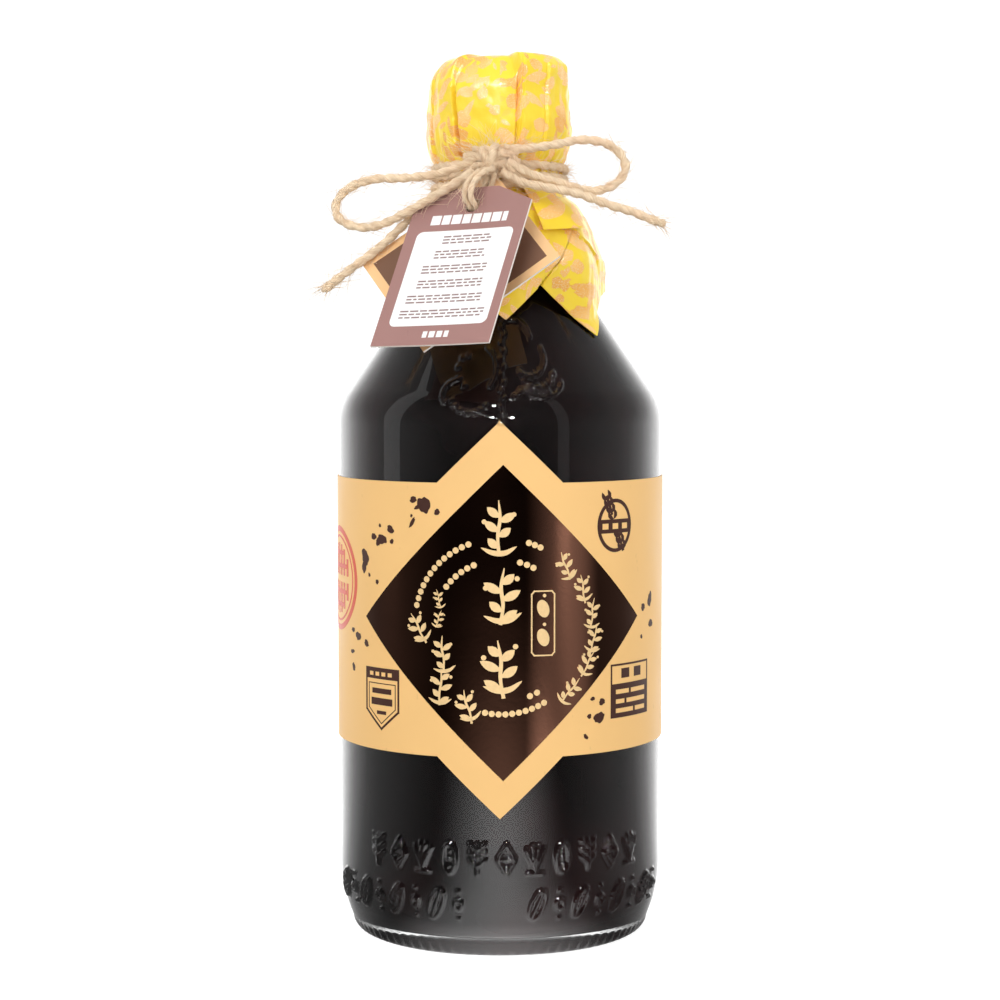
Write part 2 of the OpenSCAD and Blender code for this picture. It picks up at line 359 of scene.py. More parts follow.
def blend_colour(tree, share, a, b):
    """Colour a where share is 0 and b where it is 1."""
    return node(tree, "ShaderNodeMix", {0: share, 6: a, 7: b}, data_type="RGBA").outputs[2]


def noise(tree, vector, scale, detail=3.0, rough=0.5):
    """Even cloudy noise, 0 to 1."""
    return node(tree, "ShaderNodeTexNoise", {"Vector": vector, "Scale": scale, "Detail": detail,
                                             "Roughness": rough}).outputs[0]


def group(name, build, inputs, outputs):
    """A node group, made once. build(tree, inputs) returns the sockets for its outputs."""
    tree = bpy.data.node_groups.get(name)
    if tree is None:
        tree = bpy.data.node_groups.new(name, "ShaderNodeTree")
        for title, kind, default in inputs:
            made = tree.interface.new_socket(title, in_out="INPUT", socket_type=kind)
            if default is not None:
                made.default_value = default
        for title, kind in outputs:
            tree.interface.new_socket(title, in_out="OUTPUT", socket_type=kind)
        enter = tree.nodes.new("NodeGroupInput")
        leave = tree.nodes.new("NodeGroupOutput")
        for socket, value in zip(leave.inputs, build(tree, enter.outputs)):
            tree.links.new(value, socket)
    return tree


def place_group(tree, inner, values):
    """Puts a node group into a material with its own values."""
    return node(tree, "ShaderNodeGroup", values, node_tree=inner).outputs


def build_flecks(tree, given):
    """Soft uneven tone and sparse short fibres of a printed paper."""
    place = given["Vector"]
    stretched = node(tree, "ShaderNodeMapping", {"Vector": place, "Rotation": (0, 0.5, 0.6),
                                                 "Scale": (900, 260, 260)}).outputs[0]
    fibre = span(tree, noise(tree, stretched, 1.0, 2.0, 0.6), 0.69, 0.75)
    return noise(tree, place, 60.0, 4.0), fibre, noise(tree, place, 2600.0, 3.0, 0.7)


def flecks():
    return group("paper_flecks", build_flecks, [("Vector", "NodeSocketVector", None)],
                 [("Tone", "NodeSocketFloat"), ("Fibre", "NodeSocketFloat"),
                  ("Height", "NodeSocketFloat")])


def build_leaf(tree, given):
    """Scattered leaves: round each cell's point the leaf is where |y| / width + x^2 / length^2
    is under 1, turned by the cell's own angle."""
    scaled = vector_maths(tree, "MULTIPLY", given["Vector"], given["Scale"])
    cells = node(tree, "ShaderNodeTexVoronoi", {"Vector": scaled, "Scale": 1.0,
                                                "Randomness": 0.85}, voronoi_dimensions="2D")
    local = vector_maths(tree, "SUBTRACT", scaled, cells.outputs["Position"])
    colours = node(tree, "ShaderNodeSeparateColor", {0: cells.outputs["Color"]}).outputs
    own_way = node(tree, "ShaderNodeVectorRotate", {"Vector": local, "Angle": times(
        tree, colours[0], 6.283)}, rotation_type="Z_AXIS").outputs[0]
    x, y, _ = split(tree, own_way)
    across = maths(tree, "DIVIDE", maths(tree, "ABSOLUTE", y), given["Width"])
    along = maths(tree, "POWER", maths(tree, "DIVIDE", x, given["Length"]), 2.0)
    size = maths(tree, "ADD", times(tree, colours[1], 0.5), 0.6)
    reach = maths(tree, "DIVIDE", maths(tree, "ADD", across, along), size)
    return span(tree, reach, 1.06, 0.96), colours[2]


def leaves():
    return group("scattered_leaves", build_leaf,
                 [("Vector", "NodeSocketVector", None), ("Scale", "NodeSocketVector", None),
                  ("Width", "NodeSocketFloat", 0.3), ("Length", "NodeSocketFloat", 0.5)],
                 [("Mask", "NodeSocketFloat"), ("Chance", "NodeSocketFloat")])


def material(name):
    """A new material with its node tree and its surface shader."""
    made = bpy.data.materials.new(name)
    made.use_nodes = True
    return made, made.node_tree, made.node_tree.nodes["Principled BSDF"]


def object_place(tree):
    """The place in the model, in metres."""
    return node(tree, "ShaderNodeTexCoord").outputs["Object"]


def uv_place(tree):
    """The place along and across the piece's own surface, in metres."""
    return node(tree, "ShaderNodeUVMap", uv_map="UVMap").outputs[0]


def bump(tree, height, depth, strength=1.0):
    """A surface made uneven by height, depth metres deep."""
    return node(tree, "ShaderNodeBump", {"Height": height, "Distance": depth,
                                         "Strength": strength}).outputs[0]


def grey(tone):
    """A grey with full alpha."""
    return (tone, tone, tone, 1)


def rgba(values, gain=1.0):
    """A colour made lighter or darker, with full alpha."""
    return tuple(min(1.0, gain * v) for v in values) + (1.0,)


def glass_material():
    """Clear glass with faint unevenness."""
    made, tree, shader = material("clear_glass")
    seeds = noise(tree, object_place(tree), 90.0, 2.0)
    settle(tree, shader, {"Base Color": (0.97, 0.985, 0.98, 1), "Roughness": span(
        tree, seeds, 0.3, 0.8, 0.0, 0.02), "IOR": 1.5, "Transmission Weight": 1.0,
        "Normal": bump(tree, seeds, 0.00005, 0.35)})
    return made


def sauce_material(settings):
    """Almost black sauce, a little redder in patches."""
    made, tree, shader = material("dark_sauce")
    depth = noise(tree, object_place(tree), 25.0, 2.0)
    settle(tree, shader, {"Base Color": blend_colour(
        tree, span(tree, depth, 0.4, 0.65), rgba(settings.sauce, 0.4), rgba(settings.sauce, 2.6)),
        "Roughness": 0.25, "Specular IOR Level": 0.08})
    return made


def paper_material(name, tint, roughness, gloss=0.0, depth=0.00002):
    """Printed paper or card: an uneven tone, a few fibres and a slight grain."""
    made, tree, shader = material(name)
    tone, fibre, height = place_group(tree, flecks(), {"Vector": object_place(tree)})
    base = blend_colour(tree, tone, rgba(tint, 0.95), rgba(tint, 1.04))
    settle(tree, shader, {"Base Color": blend_colour(tree, times(tree, fibre, 0.35), base,
                                                     rgba(tint, 0.72)),
                          "Roughness": span(tree, tone, 0.2, 0.8, roughness - 0.05,
                                            roughness + 0.05),
                          "Coat Weight": gloss, "Coat Roughness": 0.2,
                          "Specular IOR Level": 0.25,
                          "Normal": bump(tree, height, depth)})
    return made


def dark_gloss_material(settings):
    """A dark mirror-like print. An upright band to the right of its middle is painted much brighter
    and warmer: a painted reflection of a lamp.
    """
    made, tree, shader = material("dark_gloss")
    place = object_place(tree)
    drift = noise(tree, place, 28.0, 3.0, 0.6)
    beside = maths(tree, "ABSOLUTE", maths(tree, "SUBTRACT", split(tree, place)[0], PAINTED_SHEEN_X))
    # Mask of the painted reflection: full within 1 mm of its line, gone 8.5 mm off it.
    band = span(tree, beside, 0.0085, 0.001)
    base = blend_colour(tree, drift, rgba(settings.dark, 0.55), rgba(settings.dark, 1.15))
    settle(tree, shader, {"Base Color": blend_colour(tree, band, base, rgba(settings.dark, 16.0)),
                          "Metallic": 1.0, "Roughness": span(tree, drift, 0.2, 0.8, 0.15, 0.22),
                          "Normal": bump(tree, noise(tree, place, 900.0), 0.00001)})
    return made


def foil_material(settings):
    """Pale foil with a fine grain."""
    made, tree, shader = material("pale_foil")
    grain = noise(tree, object_place(tree), 1500.0, 2.0)
    settle(tree, shader, {"Base Color": blend_colour(tree, grain, rgba(settings.foil, 0.9),
                                                     rgba(settings.foil, 1.1)),
                          "Metallic": 0.15, "Roughness": 0.45,
                          "Normal": bump(tree, grain, 0.00002)})
    return made


def hood_material(settings):
    """Yellow paper printed all over with three kinds of gold leaves: wavy petals, slim sprigs and
    small shards. Specks glint in the gold."""
    made, tree, shader = material("yellow_paper")
    flat = uv_place(tree)
    place = object_place(tree)
    moved = vector_maths(tree, "ADD", flat, (0.0011, 0.0008, 0))
    bent = vector_maths(tree, "ADD", times(tree, noise(tree, flat, 260.0, 2.0), 0.0016), moved)
    petals, sprigs, shards = (
        place_group(tree, leaves(), {"Vector": vector, "Scale": scale, "Width": width,
                                     "Length": reach})
        for vector, scale, width, reach in ((bent, (215, 235, 0), 0.42, 0.46),
                                            (moved, (150, 120, 0), 0.16, 0.52),
                                            (flat, (330, 300, 0), 0.22, 0.5)))
    some = times(tree, petals["Mask"], span(tree, petals["Chance"], 0.28, 0.32))
    few = times(tree, shards["Mask"], span(tree, shards["Chance"], 0.5, 0.54))
    mask = maths(tree, "MAXIMUM", maths(tree, "MAXIMUM", some, few), sprigs["Mask"])
    tone = noise(tree, place, 45.0, 4.0, 0.6)
    ground = blend_colour(tree, tone, rgba(settings.yellow, 0.93), rgba(settings.yellow, 1.06))
    speck = noise(tree, flat, 5200.0, 2.0, 0.7)
    glint = times(tree, mask, span(tree, speck, 0.56, 0.62))
    warm = blend_colour(tree, span(tree, noise(tree, flat, 75.0, 1.0), 0.42, 0.6),
                        rgba((1.0, 0.60, 0.20)), rgba(settings.gold, 0.97))
    printed = blend_colour(tree, glint, warm, (1.0, 0.88, 0.62, 1))
    settle(tree, shader, {"Base Color": blend_colour(tree, mask, ground, printed),
                          "Roughness": span(tree, mask, 0, 1, 0.28, 0.4),
                          "Metallic": times(tree, glint, 0.5),
                          "Specular IOR Level": 0.3,
                          "Normal": bump(tree, noise(tree, place, 420.0, 4.0, 0.6), 0.00012)})
    return made


def jute_material(settings):
    """Jute: pale and darker strands along the cord, and warmer patches."""
    made, tree, shader = material("jute")
    long = node(tree, "ShaderNodeMapping", {"Vector": uv_place(tree),
                                            "Scale": (260, 5200, 1)}).outputs[0]
    strands = noise(tree, long, 1.0, 3.0, 0.65)
    patches = noise(tree, object_place(tree), 160.0, 3.0)
    base = blend_colour(tree, span(tree, strands, 0.32, 0.68), rgba(settings.jute, 0.72),
                        rgba((1.0, 0.84, 0.6)))
    settle(tree, shader, {"Base Color": blend_colour(
        tree, times(tree, span(tree, patches, 0.45, 0.75), 0.4), base,
        rgba((0.9, 0.62, 0.42))), "Roughness": 0.85, "Sheen Weight": 0.25,
        "Normal": bump(tree, strands, 0.00022)})
    return made


# ---------------------------------------------------------------- twine


# Routes of the twine, as offsets in millimetres from the middle of the knot.
BOW_LEFT = [[-3.2, 0.3, 0.5], [-6.9, 0.3, -1.2], [-11.4, 0.7, -2.9], [-16.4, 1.4, -3.7],
            [-21.4, 2.4, -4], [-25.9, 3.4, -4], [-30, 4.4, -4.8], [-33.6, 4.9, -6.6],
            [-35.8, 4.9, -9.6], [-35.2, 4.4, -12.8], [-32, 3.4, -14.7], [-27.9, 2.4, -15],
            [-23.4, 0.4, -13.8], [-18.9, -1.5, -11.6], [-14.9, -3, -9.4], [-11.1, -3.7, -7.2],
            [-7.2, -3.3, -4.7], [-4.6, -2.2, -2.9]]
BOW_RIGHT = [[2.4, 0, 2.6], [6.2, 0.1, 2.4], [10.4, 0.8, 2.9], [14.4, 1.9, 3.6], [18.4, 2.9, 4.5],
             [22.2, 3.9, 4.7], [26, 4.6, 3.9], [29, 4.9, 1.7], [30.2, 4.9, -1.3],
             [28.9, 4.7, -4.2], [25.8, 4, -6.2], [22, 3, -6.8], [18, 1.7, -6], [14, 0.6, -4.8],
             [10, -0.4, -3.8], [6.2, -1.1, -2.2], [3.1, -1.1, -0.4]]
END_LEFT = [[-2.1, 1.5, -2.2], [-6.5, 2.1, -4.4], [-11, 2.3, -7], [-15.2, 2.2, -9.9],
            [-18, 1.7, -12.5], [-20.4, 0.6, -14.8], [-22.8, -0.2, -17.2], [-26.4, -0.7, -20.4],
            [-30.3, -1.1, -23.3], [-34.2, -2.1, -26.3], [-38.4, -3.6, -29.7]]
END_RIGHT = [[2.1, -0.9, -2.6], [6, -1.9, -5], [10.4, -1.8, -6.1], [14.8, -1.3, -6.8],
             [19, -0.5, -7.6], [23.2, 0.3, -9], [27.4, 1.1, -10.4], [31.6, 1.6, -11.6],
             [35.8, 1.8, -13.3], [39.2, 1.9, -14.4]]
STRING = [[-0.6, -2.6, -2.2], [-2.8, -5.7, -3.3], [-4.9, -9, -5.7], [-5.6, -10.1, -8.5],
          [-4.9, -9.1, -10.3], [-3.9, -7.3, -11.5], [-2.9, -5.7, -10.5], [-1.6, -3.8, -7.9],
          [-0.9, -1.6, -5.2], [-0.3, -0.3, -3.3]]
# Each free cord: its route, its length in metres and where its far end is.
FREE_CORDS = {"bow_loop_left": (BOW_LEFT, 0.075, "object"),
              "bow_loop_right": (BOW_RIGHT, 0.063, "object"),
              "twine_end_left": (END_LEFT, 0.0465, "bare"),
              "twine_end_right": (END_RIGHT, 0.0395, "bare")}
RING_STEP = 0.34
CORD_SIDES = 18


def unit(vectors):
    """Each vector divided by its length."""
    return vectors / np.maximum(np.linalg.norm(vectors, axis=-1, keepdims=True), 1e-12)


def cord_frames(path, ref, closed=False):
    """Two directions square to the path at each of its points: way x ref and way x that."""
    if closed:
        way = unit(np.roll(path, -1, axis=0) - np.roll(path, 1, axis=0))
    else:
        way = unit(np.gradient(path, axis=0))
    side = unit(np.cross(way, ref))
    return side, np.cross(way, side)


def slow_waves(x, rng, count=5, longest=9.0):
    """A gentle uneven wave, about -1 to 1: a sum of sines of falling length."""
    total = np.zeros_like(x)
    for k in range(count):
        total += np.sin(2 * pi * x * (1.6 ** k) / longest + rng.uniform(0, 6.28)) / (1.3 ** k)
    return total / 2.2


def twisted_cord(path, ref, diameter, twist, rng, closed=False, taper=(False, False)):
    """A cord of two plies twisted together. Its section is the outline of two overlapping
    circles, c |cos a| + sqrt(q^2 - c^2 sin^2 a), turned once for each twist along the path,
    with fine ridges for the strands. Tapered ends narrow to a blunt tip."""
    run = np.concatenate([[0], np.cumsum(np.linalg.norm(np.diff(path, axis=0), axis=1))])
    side, up = cord_frames(path, ref, closed)
    if closed:
        turns = round((run[-1] + np.linalg.norm(path[0] - path[-1])) / twist)
        phase = 2 * pi * turns * np.arange(len(path)) / len(path)
        uneven = np.zeros(len(path))
    else:
        phase = 2 * pi * run / twist + rng.uniform(0, 6.28)
        uneven = slow_waves(run, rng)
    a = np.linspace(0, 2 * pi, CORD_SIDES, endpoint=False)[None, :]
    ply = a - phase[:, None]
    c, q = 0.13 * diameter, 0.37 * diameter
    radius = c * np.abs(np.cos(ply)) + np.sqrt(q ** 2 - (c * np.sin(ply)) ** 2)
    radius *= 1 + 0.035 * np.sin(9 * ply + 0.8 * uneven[:, None]) + 0.05 * uneven[:, None]
    for end, where in zip(taper, (run, run[-1] - run)):
        if end:
            radius *= np.sqrt(np.clip(0.25 + where / diameter * 1.6, 0, 1))[:, None]
    points = (path[:, None] + radius[..., None] * (np.cos(a)[..., None] * side[:, None]
                                                   + np.sin(a)[..., None] * up[:, None]))
    uv = np.stack(np.broadcast_arrays(run[:, None], (ply % (2 * pi)) * diameter / 2), -1)
    return points, uv.reshape(-1, 2)


def fibres(path, diameter, count, rng, reach):
    """Loose hairs: each leaves the cord's surface partly along it and curls by a quadratic."""
    at = np.sort(rng.uniform(0.02, 0.98, count)) * (len(path) - 2)
    base = path[at.astype(int)]
    way = unit(path[at.astype(int) + 1] - base) * rng.choice([-1, 1], count)[:, None]
    out = unit(np.cross(way, rng.normal(size=(count, 3))))
    curl = unit(rng.normal(size=(count, 3)))
    size = rng.uniform(*reach, count)[:, None]
    s = np.linspace(0, 1, 7)[None, :, None]
    lift = rng.uniform(0.25, 1.1, count)[:, None, None]
    line = (base[:, None] + 0.36 * diameter * out[:, None]
            + size[:, None] * (s * (way[:, None] + lift * out[:, None])
                               + 0.45 * s ** 2 * curl[:, None]))
    first = unit(np.cross(way, curl))[:, None, None]
    second = unit(np.cross(way[:, None, None], first))
    a = np.linspace(0, 2 * pi, 3, endpoint=False)[None, None, :, None]
    thick = (0.065 - 0.045 * s)[..., None]
    rings = line[:, :, None] + thick * (np.cos(a) * first + np.sin(a) * second)
    return [skin(ring, ring[0].mean(0), ring[-1].mean(0)) for ring in rings]


def route_points(route, shift=(0, 0, 0)):
    """The route as a smooth curve in the model's place, with a point every RING_STEP."""
    rough = np.array(route) + KNOT + np.array(shift)
    reach = np.linalg.norm(np.diff(rough, axis=0), axis=1).sum()
    return curve_points(rough, int(reach / RING_STEP))


def capped(points, uv):
    """An open cord's rings as a closed solid, and uv with pairs for its two end points."""
    return skin(points, points[0].mean(0), points[-1].mean(0)), np.vstack([uv, uv[:1], uv[-1:]])


def hooped(points, uv):
    """The solid of a cord whose last ring joins its first, and its uv."""
    rows, cols = points.shape[:2]
    i, j = np.arange(rows)[:, None], np.arange(cols)[None, :]
    k, m = (j + 1) % cols, (i + 1) % rows
    quads = np.stack(np.broadcast_arrays(i * cols + j, i * cols + k, m * cols + k, m * cols + j), -1)
    return (points.reshape(-1, 3), quads.reshape(-1, 4).tolist()), uv


def make_cord(name, path, ref, diameter, settings, rng, jute, taper=(False, False)):
    """One open cord as its own piece."""
    solid, uv = capped(*twisted_cord(path, ref, diameter, settings.twist / MM, rng, taper=taper))
    return piece(name, solid, [jute], [name], uv, period=pi * diameter)


def make_bundle(name, cords, jute):
    """Several cords, as pairs of solid and uv, joined into one piece."""
    solids, uvs = zip(*cords)
    piece(name, join(solids), [jute], [name], np.vstack(uvs))


def make_free_cords(settings, jute, rng):
    """The two loops and the two ends of the bow."""
    diameter = settings.diameter / MM
    paths = []
    for name, (route, real_length, far_end) in FREE_CORDS.items():
        path = route_points(route)
        made = make_cord(name, path, [0, 1, 0], diameter, settings, rng, jute,
                         taper=(False, far_end == "bare"))
        paths.append(path)
    return paths


def make_strings(settings, jute, rng):
    """Both strings of the hang tag, side by side through its hole."""
    diameter = settings.string / MM
    paths = []
    across = np.array([np.cos(TAG_TURN), np.sin(TAG_TURN), 0])
    for side, name in ((-1, "tag_string_left"), (1, "tag_string_right")):
        path = route_points(STRING, side * settings.string_gap / MM * across)
        make_cord(name, path, across, diameter, settings, rng, jute)
        paths.append(path)
    return paths


def closed_turn(centre, first, second, a_size, b_size, steps, wobble, rng):
    """A closed loop centre + first a cos t + second b sin t, with a slow wobble."""
    t = np.linspace(0, 2 * pi, steps, endpoint=False)[:, None]
    third = np.cross(first, second)
    lift = wobble * (np.sin(t + rng.uniform(0, 6)) + 0.5 * np.sin(2 * t + rng.uniform(0, 6)))
    return (np.array(centre) + np.array(first) * a_size * np.cos(t)
            + np.array(second) * b_size * np.sin(t) + third * lift)


def make_tie(settings, jute, rng):
    """Three turns round the neck, each a closed loop with its own slight tilt."""
    cords, paths = [], []
    t = np.linspace(0, 2 * pi, int(2 * pi * TIE_R / RING_STEP), endpoint=False)
    for turn, (lift, tilt, azimuth) in enumerate(((-2.15, 0.02, 0.5), (0.0, 0.035, 3.4),
                                                  (2.15, 0.03, 1.9))):
        path = around(TIE_R + 0.12 * np.sin(3 * t + turn), t,
                      TIE_Z + lift + TIE_R * tilt * np.sin(t + azimuth) * 0.6)
        cords.append(hooped(*twisted_cord(path, [0, 0, 1], settings.diameter / MM,
                                          settings.twist / MM, rng, True)))
        paths.append(path)
    make_bundle("twine_tie", cords, jute)
    return paths


def make_knot(settings, jute, rng):
    """The knot: two wraps over a bundle of three short strands that the bow comes out of."""
    diameter, twist = settings.diameter / MM, settings.twist / MM
    cords, paths = [], []
    wraps = (((0.4, -0.3, 0.2), (0.25, 0.97, 0.1), (0.12, -0.13, 0.98), 2.3, 2.7),
             ((-1.9, 0.1, -0.6), (-0.3, 0.95, 0.05), (-0.25, -0.12, 0.96), 2.1, 2.4))
    for centre, first, second, a_size, b_size in wraps:
        path = closed_turn(KNOT + centre, first, second, a_size, b_size, 44, 0.15, rng)
        cords.append(hooped(*twisted_cord(path, [1, 0.1, 0.05], diameter, twist, rng, True)))
        paths.append(path)
    strands = (((-6.4, 1.2, 0.9), (-2.5, -0.6, 0.7), (1.5, -0.9, 0.9), (5.4, 0.5, 1.9)),
               ((-6.0, 1.0, -2.2), (-2.0, -0.9, -1.2), (2.0, -1.0, -1.0), (5.2, -0.6, -2.4)),
               ((-4.2, 1.8, 2.2), (-1.0, -0.3, 2.1), (2.6, -0.3, 1.4), (5.8, 1.4, -0.6)))
    for strand in strands:
        path = route_points(strand)
        cords.append(capped(*twisted_cord(path, [0, 1, 0], diameter, twist, rng)))
        paths.append(path)
    make_bundle("twine_knot", cords, jute)
    return paths


def make_fibres(paths, settings, jute, rng):
    """Loose fibres along every cord, more and longer ones near the knot, and a tuft at the bare
    ends, which are the third and fourth of the paths."""
    diameter = settings.diameter / MM
    hairs = []
    for path in paths:
        run = np.linalg.norm(np.diff(path, axis=0), axis=1).sum()
        near = np.linalg.norm(path.mean(0) - KNOT) < 6
        share, reach = (1.8, (1.8, 6.5)) if near else (1.0, (1.2, 4.4))
        hairs += fibres(path, diameter, int(run / 10 * settings.fuzz * share) + 1, rng, reach)
    for path in paths[2:4]:
        hairs += fibres(path[-9:], diameter, 46, rng, (1.6, 4.2))
    verts, faces = join(hairs)
    piece("jute_fibres", (verts, faces), [jute], uv=np.zeros((len(verts), 2)))


class BOTTLE_OT_twine(bpy.types.Operator):
    """Make the bow, the knot, the turns round the neck and the hang tag's strings"""
    bl_idname = "bottle.twine"
    bl_label = "Twine"

    def execute(self, context):
        settings = context.scene.soy_bottle.twine
        rng = np.random.default_rng(SEED)
        jute = jute_material(settings)
        paths = make_free_cords(settings, jute, rng)
        paths += make_strings(settings, jute, rng)
        paths += make_knot(settings, jute, rng) + make_tie(settings, jute, rng)
        make_fibres(paths, settings, jute, rng)
        return {"FINISHED"}


# ---------------------------------------------------------------- glass


def arc(cx, cz, radius, start, end, count):
    """Points on an arc about (cx, cz); angles in radians."""
    t = np.linspace(start, end, count)
    return np.stack([cx + radius * np.cos(t), cz + radius * np.sin(t)], -1)


def rise(start, end, step):
    """Evenly spaced steps from start up to, and not including, end."""
    return np.linspace(start, end, max(2, int(round(abs(end - start) / step))), endpoint=False)


class Profile:
    """The outline of the glass, worked out from its driving sizes. Millimetres."""

    def __init__(self, sizes):
        for key in ("body_radius", "foot_radius", "heel_height", "shoulder_height",
                    "shoulder_bend", "neck_radius", "neck_bend", "neck_length", "wall",
                    "neck_wall", "floor", "punt"):
            setattr(self, key, getattr(sizes, key) / MM)
        self.angle = sizes.shoulder_angle
        s, c = np.sin(self.angle), np.cos(self.angle)
        self.top = (self.body_radius - self.shoulder_bend * (1 - c),
                    self.shoulder_height + self.shoulder_bend * s)
        slope = (self.top[0] - self.neck_radius - self.neck_bend * (1 - c)) / s
        self.neck_z = self.top[1] + slope * c + self.neck_bend * s
        self.mouth_z = self.neck_z + self.neck_length
        inward = self.body_radius - self.foot_radius
        self.heel_bend = (inward ** 2 + self.heel_height ** 2) / (2 * inward)

    def heel(self, inset, low, step):
        """Rows up the rounded heel from height low, moved inwards."""
        z = rise(low, self.heel_height, step)
        radius = self.heel_bend - inset
        r = self.body_radius - self.heel_bend + np.sqrt(radius ** 2 - (z - self.heel_height) ** 2)
        return np.stack([r, z], -1)

    def shoulder(self, inset, count, slope_rows, top_count):
        """Bend, straight slope and second bend, moved inwards."""
        low = arc(self.body_radius - self.shoulder_bend, self.shoulder_height,
                  self.shoulder_bend - inset, 0, self.angle, count)
        high = arc(self.neck_radius + self.neck_bend, self.neck_z, self.neck_bend + inset,
                   pi + self.angle, pi, top_count)
        f = np.linspace(0, 1, slope_rows + 2)[1:-1, None]
        return np.vstack([low, low[-1] + f * (high[0] - low[-1]), high])

    def outside(self):
        """From the middle of the base out to the foot, up the side and over to the mouth."""
        foot = self.foot_radius
        under = [[foot - 22, self.punt], [foot - 12, self.punt - 0.3], [foot - 7, 2.6],
                 [foot - 5.2, 1.0], [foot - 4.2, 0.25], [foot - 3, 0], [foot - 0.6, 0],
                 [foot - 0.2, 0.18]]
        r = self.body_radius
        side = [[r, z] for z in np.concatenate([rise(self.heel_height, 30, 0.42),
                                                rise(30, self.shoulder_height, 7)])]
        neck = [[self.neck_radius, z] for z in rise(self.neck_z + 2, self.mouth_z - 1.2, 4)]
        lip = arc(self.neck_radius - 1.2, self.mouth_z - 1.2, 1.2, 0, pi / 2, 4)
        return np.vstack([under, self.heel(0, 0.5, 0.4), side, self.shoulder(0, 28, 54, 9), neck, lip])

    def inside(self, inset, floor, top):
        """The room in the glass, from the middle of the floor up to height top."""
        edge = self.foot_radius - inset
        low = [[edge - 15, floor - 0.4], [edge - 9, floor - 1.2], [edge - 6.2, floor - 1.5],
               [edge - 4.0, floor - 0.9], [edge - 2.7, floor + 0.5]]
        side = [[self.body_radius - self.wall - inset, z] for z in
                rise(self.heel_height, self.shoulder_height, 12)]
        bore = self.neck_radius - self.neck_wall - inset
        neck = [[bore, z] for z in np.linspace(self.neck_z + 2, top, 4)]
        return np.vstack([low, self.heel(self.wall + inset, floor + 2.2, 2), side,
                          self.shoulder(self.wall + inset, 8, 4, 7), neck])

    def radius_at(self, z):
        """Outer radius of the glass at a height, from the body up."""
        z = np.asarray(z, float)
        low = self.body_radius - self.shoulder_bend + np.sqrt(np.clip(
            self.shoulder_bend ** 2 - np.clip(z - self.shoulder_height, 0, None) ** 2, 0, None))
        slope = self.top[0] - (z - self.top[1]) * np.tan(self.angle)
        bend = self.neck_radius + self.neck_bend - np.sqrt(np.clip(
            self.neck_bend ** 2 - np.clip(self.neck_z - z, 0, self.neck_bend) ** 2, 0, None))
        foot_of_bend = self.neck_z - self.neck_bend * np.sin(self.angle)
        return np.where(z < self.top[1], low, np.where(z < foot_of_bend, slope,
                                                       np.where(z < self.neck_z, bend,
                                                                self.neck_radius)))


def stroke_height(u, v, strokes, half):
    """Height of rounded raised lines, 0 to 1: the nearest stroke's distance, with soft sides."""
    nearest = np.full(u.shape, 99.0)
    for x0, y0, x1, y1 in strokes:
        dx, dy = x1 - x0, y1 - y0
        along = np.clip(((u - x0) * dx + (v - y0) * dy) / (dx * dx + dy * dy + 1e-9), 0, 1)
        nearest = np.minimum(nearest, np.hypot(u - x0 - along * dx, v - y0 - along * dy))
    return 1 - smoothstep(half * 0.45, half * 1.25, nearest)


def chain(x, y):
    """Strokes that join points one to the next."""
    p = np.stack([x, y], -1)
    return [(*a, *b) for a, b in zip(p, p[1:])]


def arc_strokes(x, y, a, b, start, end, count):
    """Part of an oval as count short strokes."""
    t = np.linspace(start, end, count + 1)
    return chain(x + a * np.cos(t), y + b * np.sin(t))


def bead(x, y):
    """A stroke so short that it is a bead."""
    return (x, y, x + 0.01, y)


def grain_ear(x, y, h):
    """An upright ear of grain: a stem with pairs of short slanting grains."""
    marks = [(x, y - h, x, y + h)]
    for k in (-0.55, 0.0, 0.55):
        marks += [(x, y + k * h, x + side, y + (k + 0.5) * h) for side in (-1.7, 1.7)]
    return marks


def lattice(x, y, h):
    """A diamond with a bar across and a bead in each half."""
    w = 2.0
    sides = chain([x - w, x, x + w, x, x - w], [y, y + h, y, y - h, y])
    return sides + [(x - w, y, x + w, y), bead(x, y + 0.5 * h), bead(x, y - 0.5 * h)]


def bean_pod(x, y, h):
    """A pod's outline with three beads."""
    return arc_strokes(x, y, 1.5, h, 0, 2 * pi, 12) + [bead(x, y + k * h) for k in (-0.5, 0, 0.5)]


def slanted_leaf(x, y, h):
    """A leaf's outline leaning right, with its midrib."""
    t = np.linspace(0, 2 * pi, 15)
    across, along = 1.5 * np.sin(t), h * np.cos(t)
    edge = chain(x + across * 0.93 + along * 0.37, y + along * 0.93 - across * 0.37)
    return edge + [(*edge[7][:2], *edge[0][:2])]


def fan(x, y, h):
    """Four blades that spread upwards over a short foot."""
    marks = [(x - 1.6, y - h, x + 1.6, y - h)]
    return marks + [(x, y - 0.8 * h, x + k, y + h * (1 - abs(k) * 0.18)) for k in (-2, -0.7, 0.7, 2)]


LOWER_MARKS = (grain_ear, lattice, fan, bean_pod)
KNURLS = 84


def lower_band_strokes():
    """Eleven ornaments in a row near the foot, and a row of leaves, ovals and beads under it.
    Returns pairs of strokes and their half width."""
    rows = [(LOWER_MARKS[k % 4](-30.7 + 6.42 * k, 23.0, 3.3), 0.46) for k in range(11)]
    for start in (-46.5, 8.4):
        for k in range(8):
            x = start + 5.3 * k
            if k % 2:
                rows.append((arc_strokes(x, 12.4, 0.9, 1.1, 0, 2 * pi, 8), 0.46))
                rows.append(([bead(x, 15.6), bead(x, 9.2)], 0.5))
            else:
                rows.append((slanted_leaf(x, 12.4, 3.6), 0.42))
    return rows


